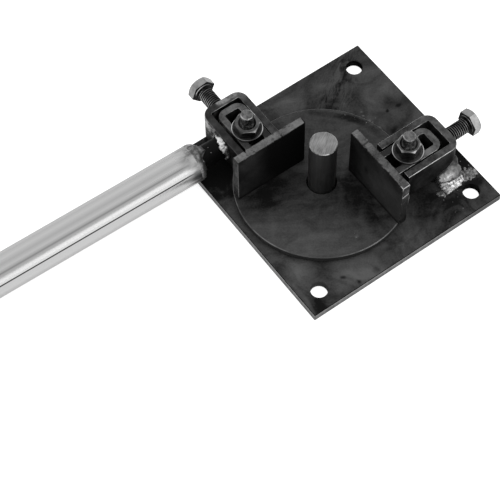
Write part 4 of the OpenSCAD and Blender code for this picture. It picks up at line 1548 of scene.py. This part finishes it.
class BENDER_OT_stage(bpy.types.Operator):
    """White studio: camera, floor, sky and two soft lamps"""

    bl_idname = "bender.stage"
    bl_label = "Stage"

    def execute(self, context):
        stage = context.scene.bender_stage
        context.scene.view_settings.view_transform = "Standard"
        self.camera(context, stage)
        self.floor(stage)
        self.sky(context, stage)
        self.lamp("overhead_lamp", stage.overhead, (0.0, 0.2, 1.5), (0, 0, 0), (2.2, 2.2), False)
        self.lamp("side_lamp", stage.side, (0.35, -1.05, 0.75), (-0.05, 0, 0), (1.3, 0.4), True)
        return {"FINISHED"}

    def camera(self, context, stage):
        data = bpy.data.cameras.new("photo_camera")
        data.sensor_width = 36
        data.lens = stage.lens
        camera = put("photo_camera", data)
        level = math.cos(stage.elevation)
        aside, ahead = math.sin(stage.azimuth), math.cos(stage.azimuth)
        back = Vector((aside * level, -ahead * level, math.sin(stage.elevation)))
        turn = (-back).to_track_quat("-Z", "Y").to_matrix() @ Matrix.Rotation(stage.roll, 3, "Z")
        camera.matrix_world = Matrix.Translation(stage.eye) @ turn.to_4x4()
        context.scene.camera = camera

    def seen(self, graph):
        """1 where the camera or a reflection looks."""
        return graph.math("MAXIMUM", *(graph.node("ShaderNodeLightPath", output=f"Is {kind} Ray")
                                       for kind in ("Camera", "Glossy")))

    def floor(self, stage):
        bm = bmesh.new()
        bmesh.ops.create_grid(bm, x_segments=1, y_segments=1, size=4,
                              matrix=Matrix.Translation((0, 0, -0.3 * MM)))
        mesh = bpy.data.meshes.new("studio_floor")
        bm.to_mesh(mesh)
        bm.free()
        made = bpy.data.materials.new("studio_floor")
        made.use_nodes = True
        graph = Wire(made.node_tree)
        shader = made.node_tree.nodes["Principled BSDF"]
        graph.plug(shader.inputs["Base Color"], stage.floor)
        graph.plug(shader.inputs["Roughness"], 0.9)
        graph.plug(shader.inputs["Specular IOR Level"], 0.0)
        glow = self.seen(graph).mix(0, stage.glow)
        camera = graph.node("ShaderNodeLightPath", output="Is Camera Ray")
        graph.plug(shader.inputs["Emission Color"], camera.mix(glow, stage.white))
        graph.plug(shader.inputs["Emission Strength"], 1.0)
        mesh.materials.append(made)
        put("studio_floor", mesh)

    def sky(self, context, stage):
        world = bpy.data.worlds.new("studio_sky")
        world.use_nodes = True
        context.scene.world = world
        graph = Wire(world.node_tree)
        shader = world.node_tree.nodes["Background"]
        graph.plug(shader.inputs["Color"], self.seen(graph).mix(stage.sky, 1))
        graph.plug(shader.inputs["Strength"], 1.0)

    def lamp(self, name, power, place, target, size, glossy):
        data = bpy.data.lights.new(name, "AREA")
        data.shape = "RECTANGLE"
        data.size, data.size_y = size
        data.energy = power
        lamp = put(name, data)
        lamp.location = place
        lamp.visible_camera = False
        lamp.visible_glossy = glossy
        lamp.rotation_euler = (Vector(target) - Vector(place)).to_track_quat("-Z", "Y").to_euler()


OPERATORS = (
    BENDER_OT_base_plate, BENDER_OT_turntable_disc, BENDER_OT_former_pin, BENDER_OT_brackets,
    BENDER_OT_sliders, BENDER_OT_jaw_plates, BENDER_OT_hidden_plates, BENDER_OT_studs,
    BENDER_OT_nuts_and_washers, BENDER_OT_adjust_screws, BENDER_OT_handle, BENDER_OT_standing_weld,
    BENDER_OT_handle_welds, BENDER_OT_strap_beads, BENDER_OT_spatter, BENDER_OT_stage,
)


class BENDER_PT_looks(bpy.types.Panel):
    """Lists the steps that build the looks"""

    bl_label = "Bender looks"
    bl_space_type = "VIEW_3D"
    bl_region_type = "UI"
    bl_category = "Bender"

    def draw(self, context):
        for operator in OPERATORS:
            self.layout.operator(operator.bl_idname)


GROUPS = {"bender_sizes": BenderSizes, "bender_finishes": BenderFinishes, "bender_stage": BenderStage}


def register():
    for kind in (*GROUPS.values(), *OPERATORS, BENDER_PT_looks):
        bpy.utils.register_class(kind)
    for name, kind in GROUPS.items():
        setattr(bpy.types.Scene, name, PointerProperty(type=kind))


def unregister():
    for name in GROUPS:
        delattr(bpy.types.Scene, name)
    for kind in reversed((*GROUPS.values(), *OPERATORS, BENDER_PT_looks)):
        bpy.utils.unregister_class(kind)


def main():
    register()
    for operator in OPERATORS:
        group, name = operator.bl_idname.split(".")
        getattr(getattr(bpy.ops, group), name)()


if __name__ == "__main__":
    main()
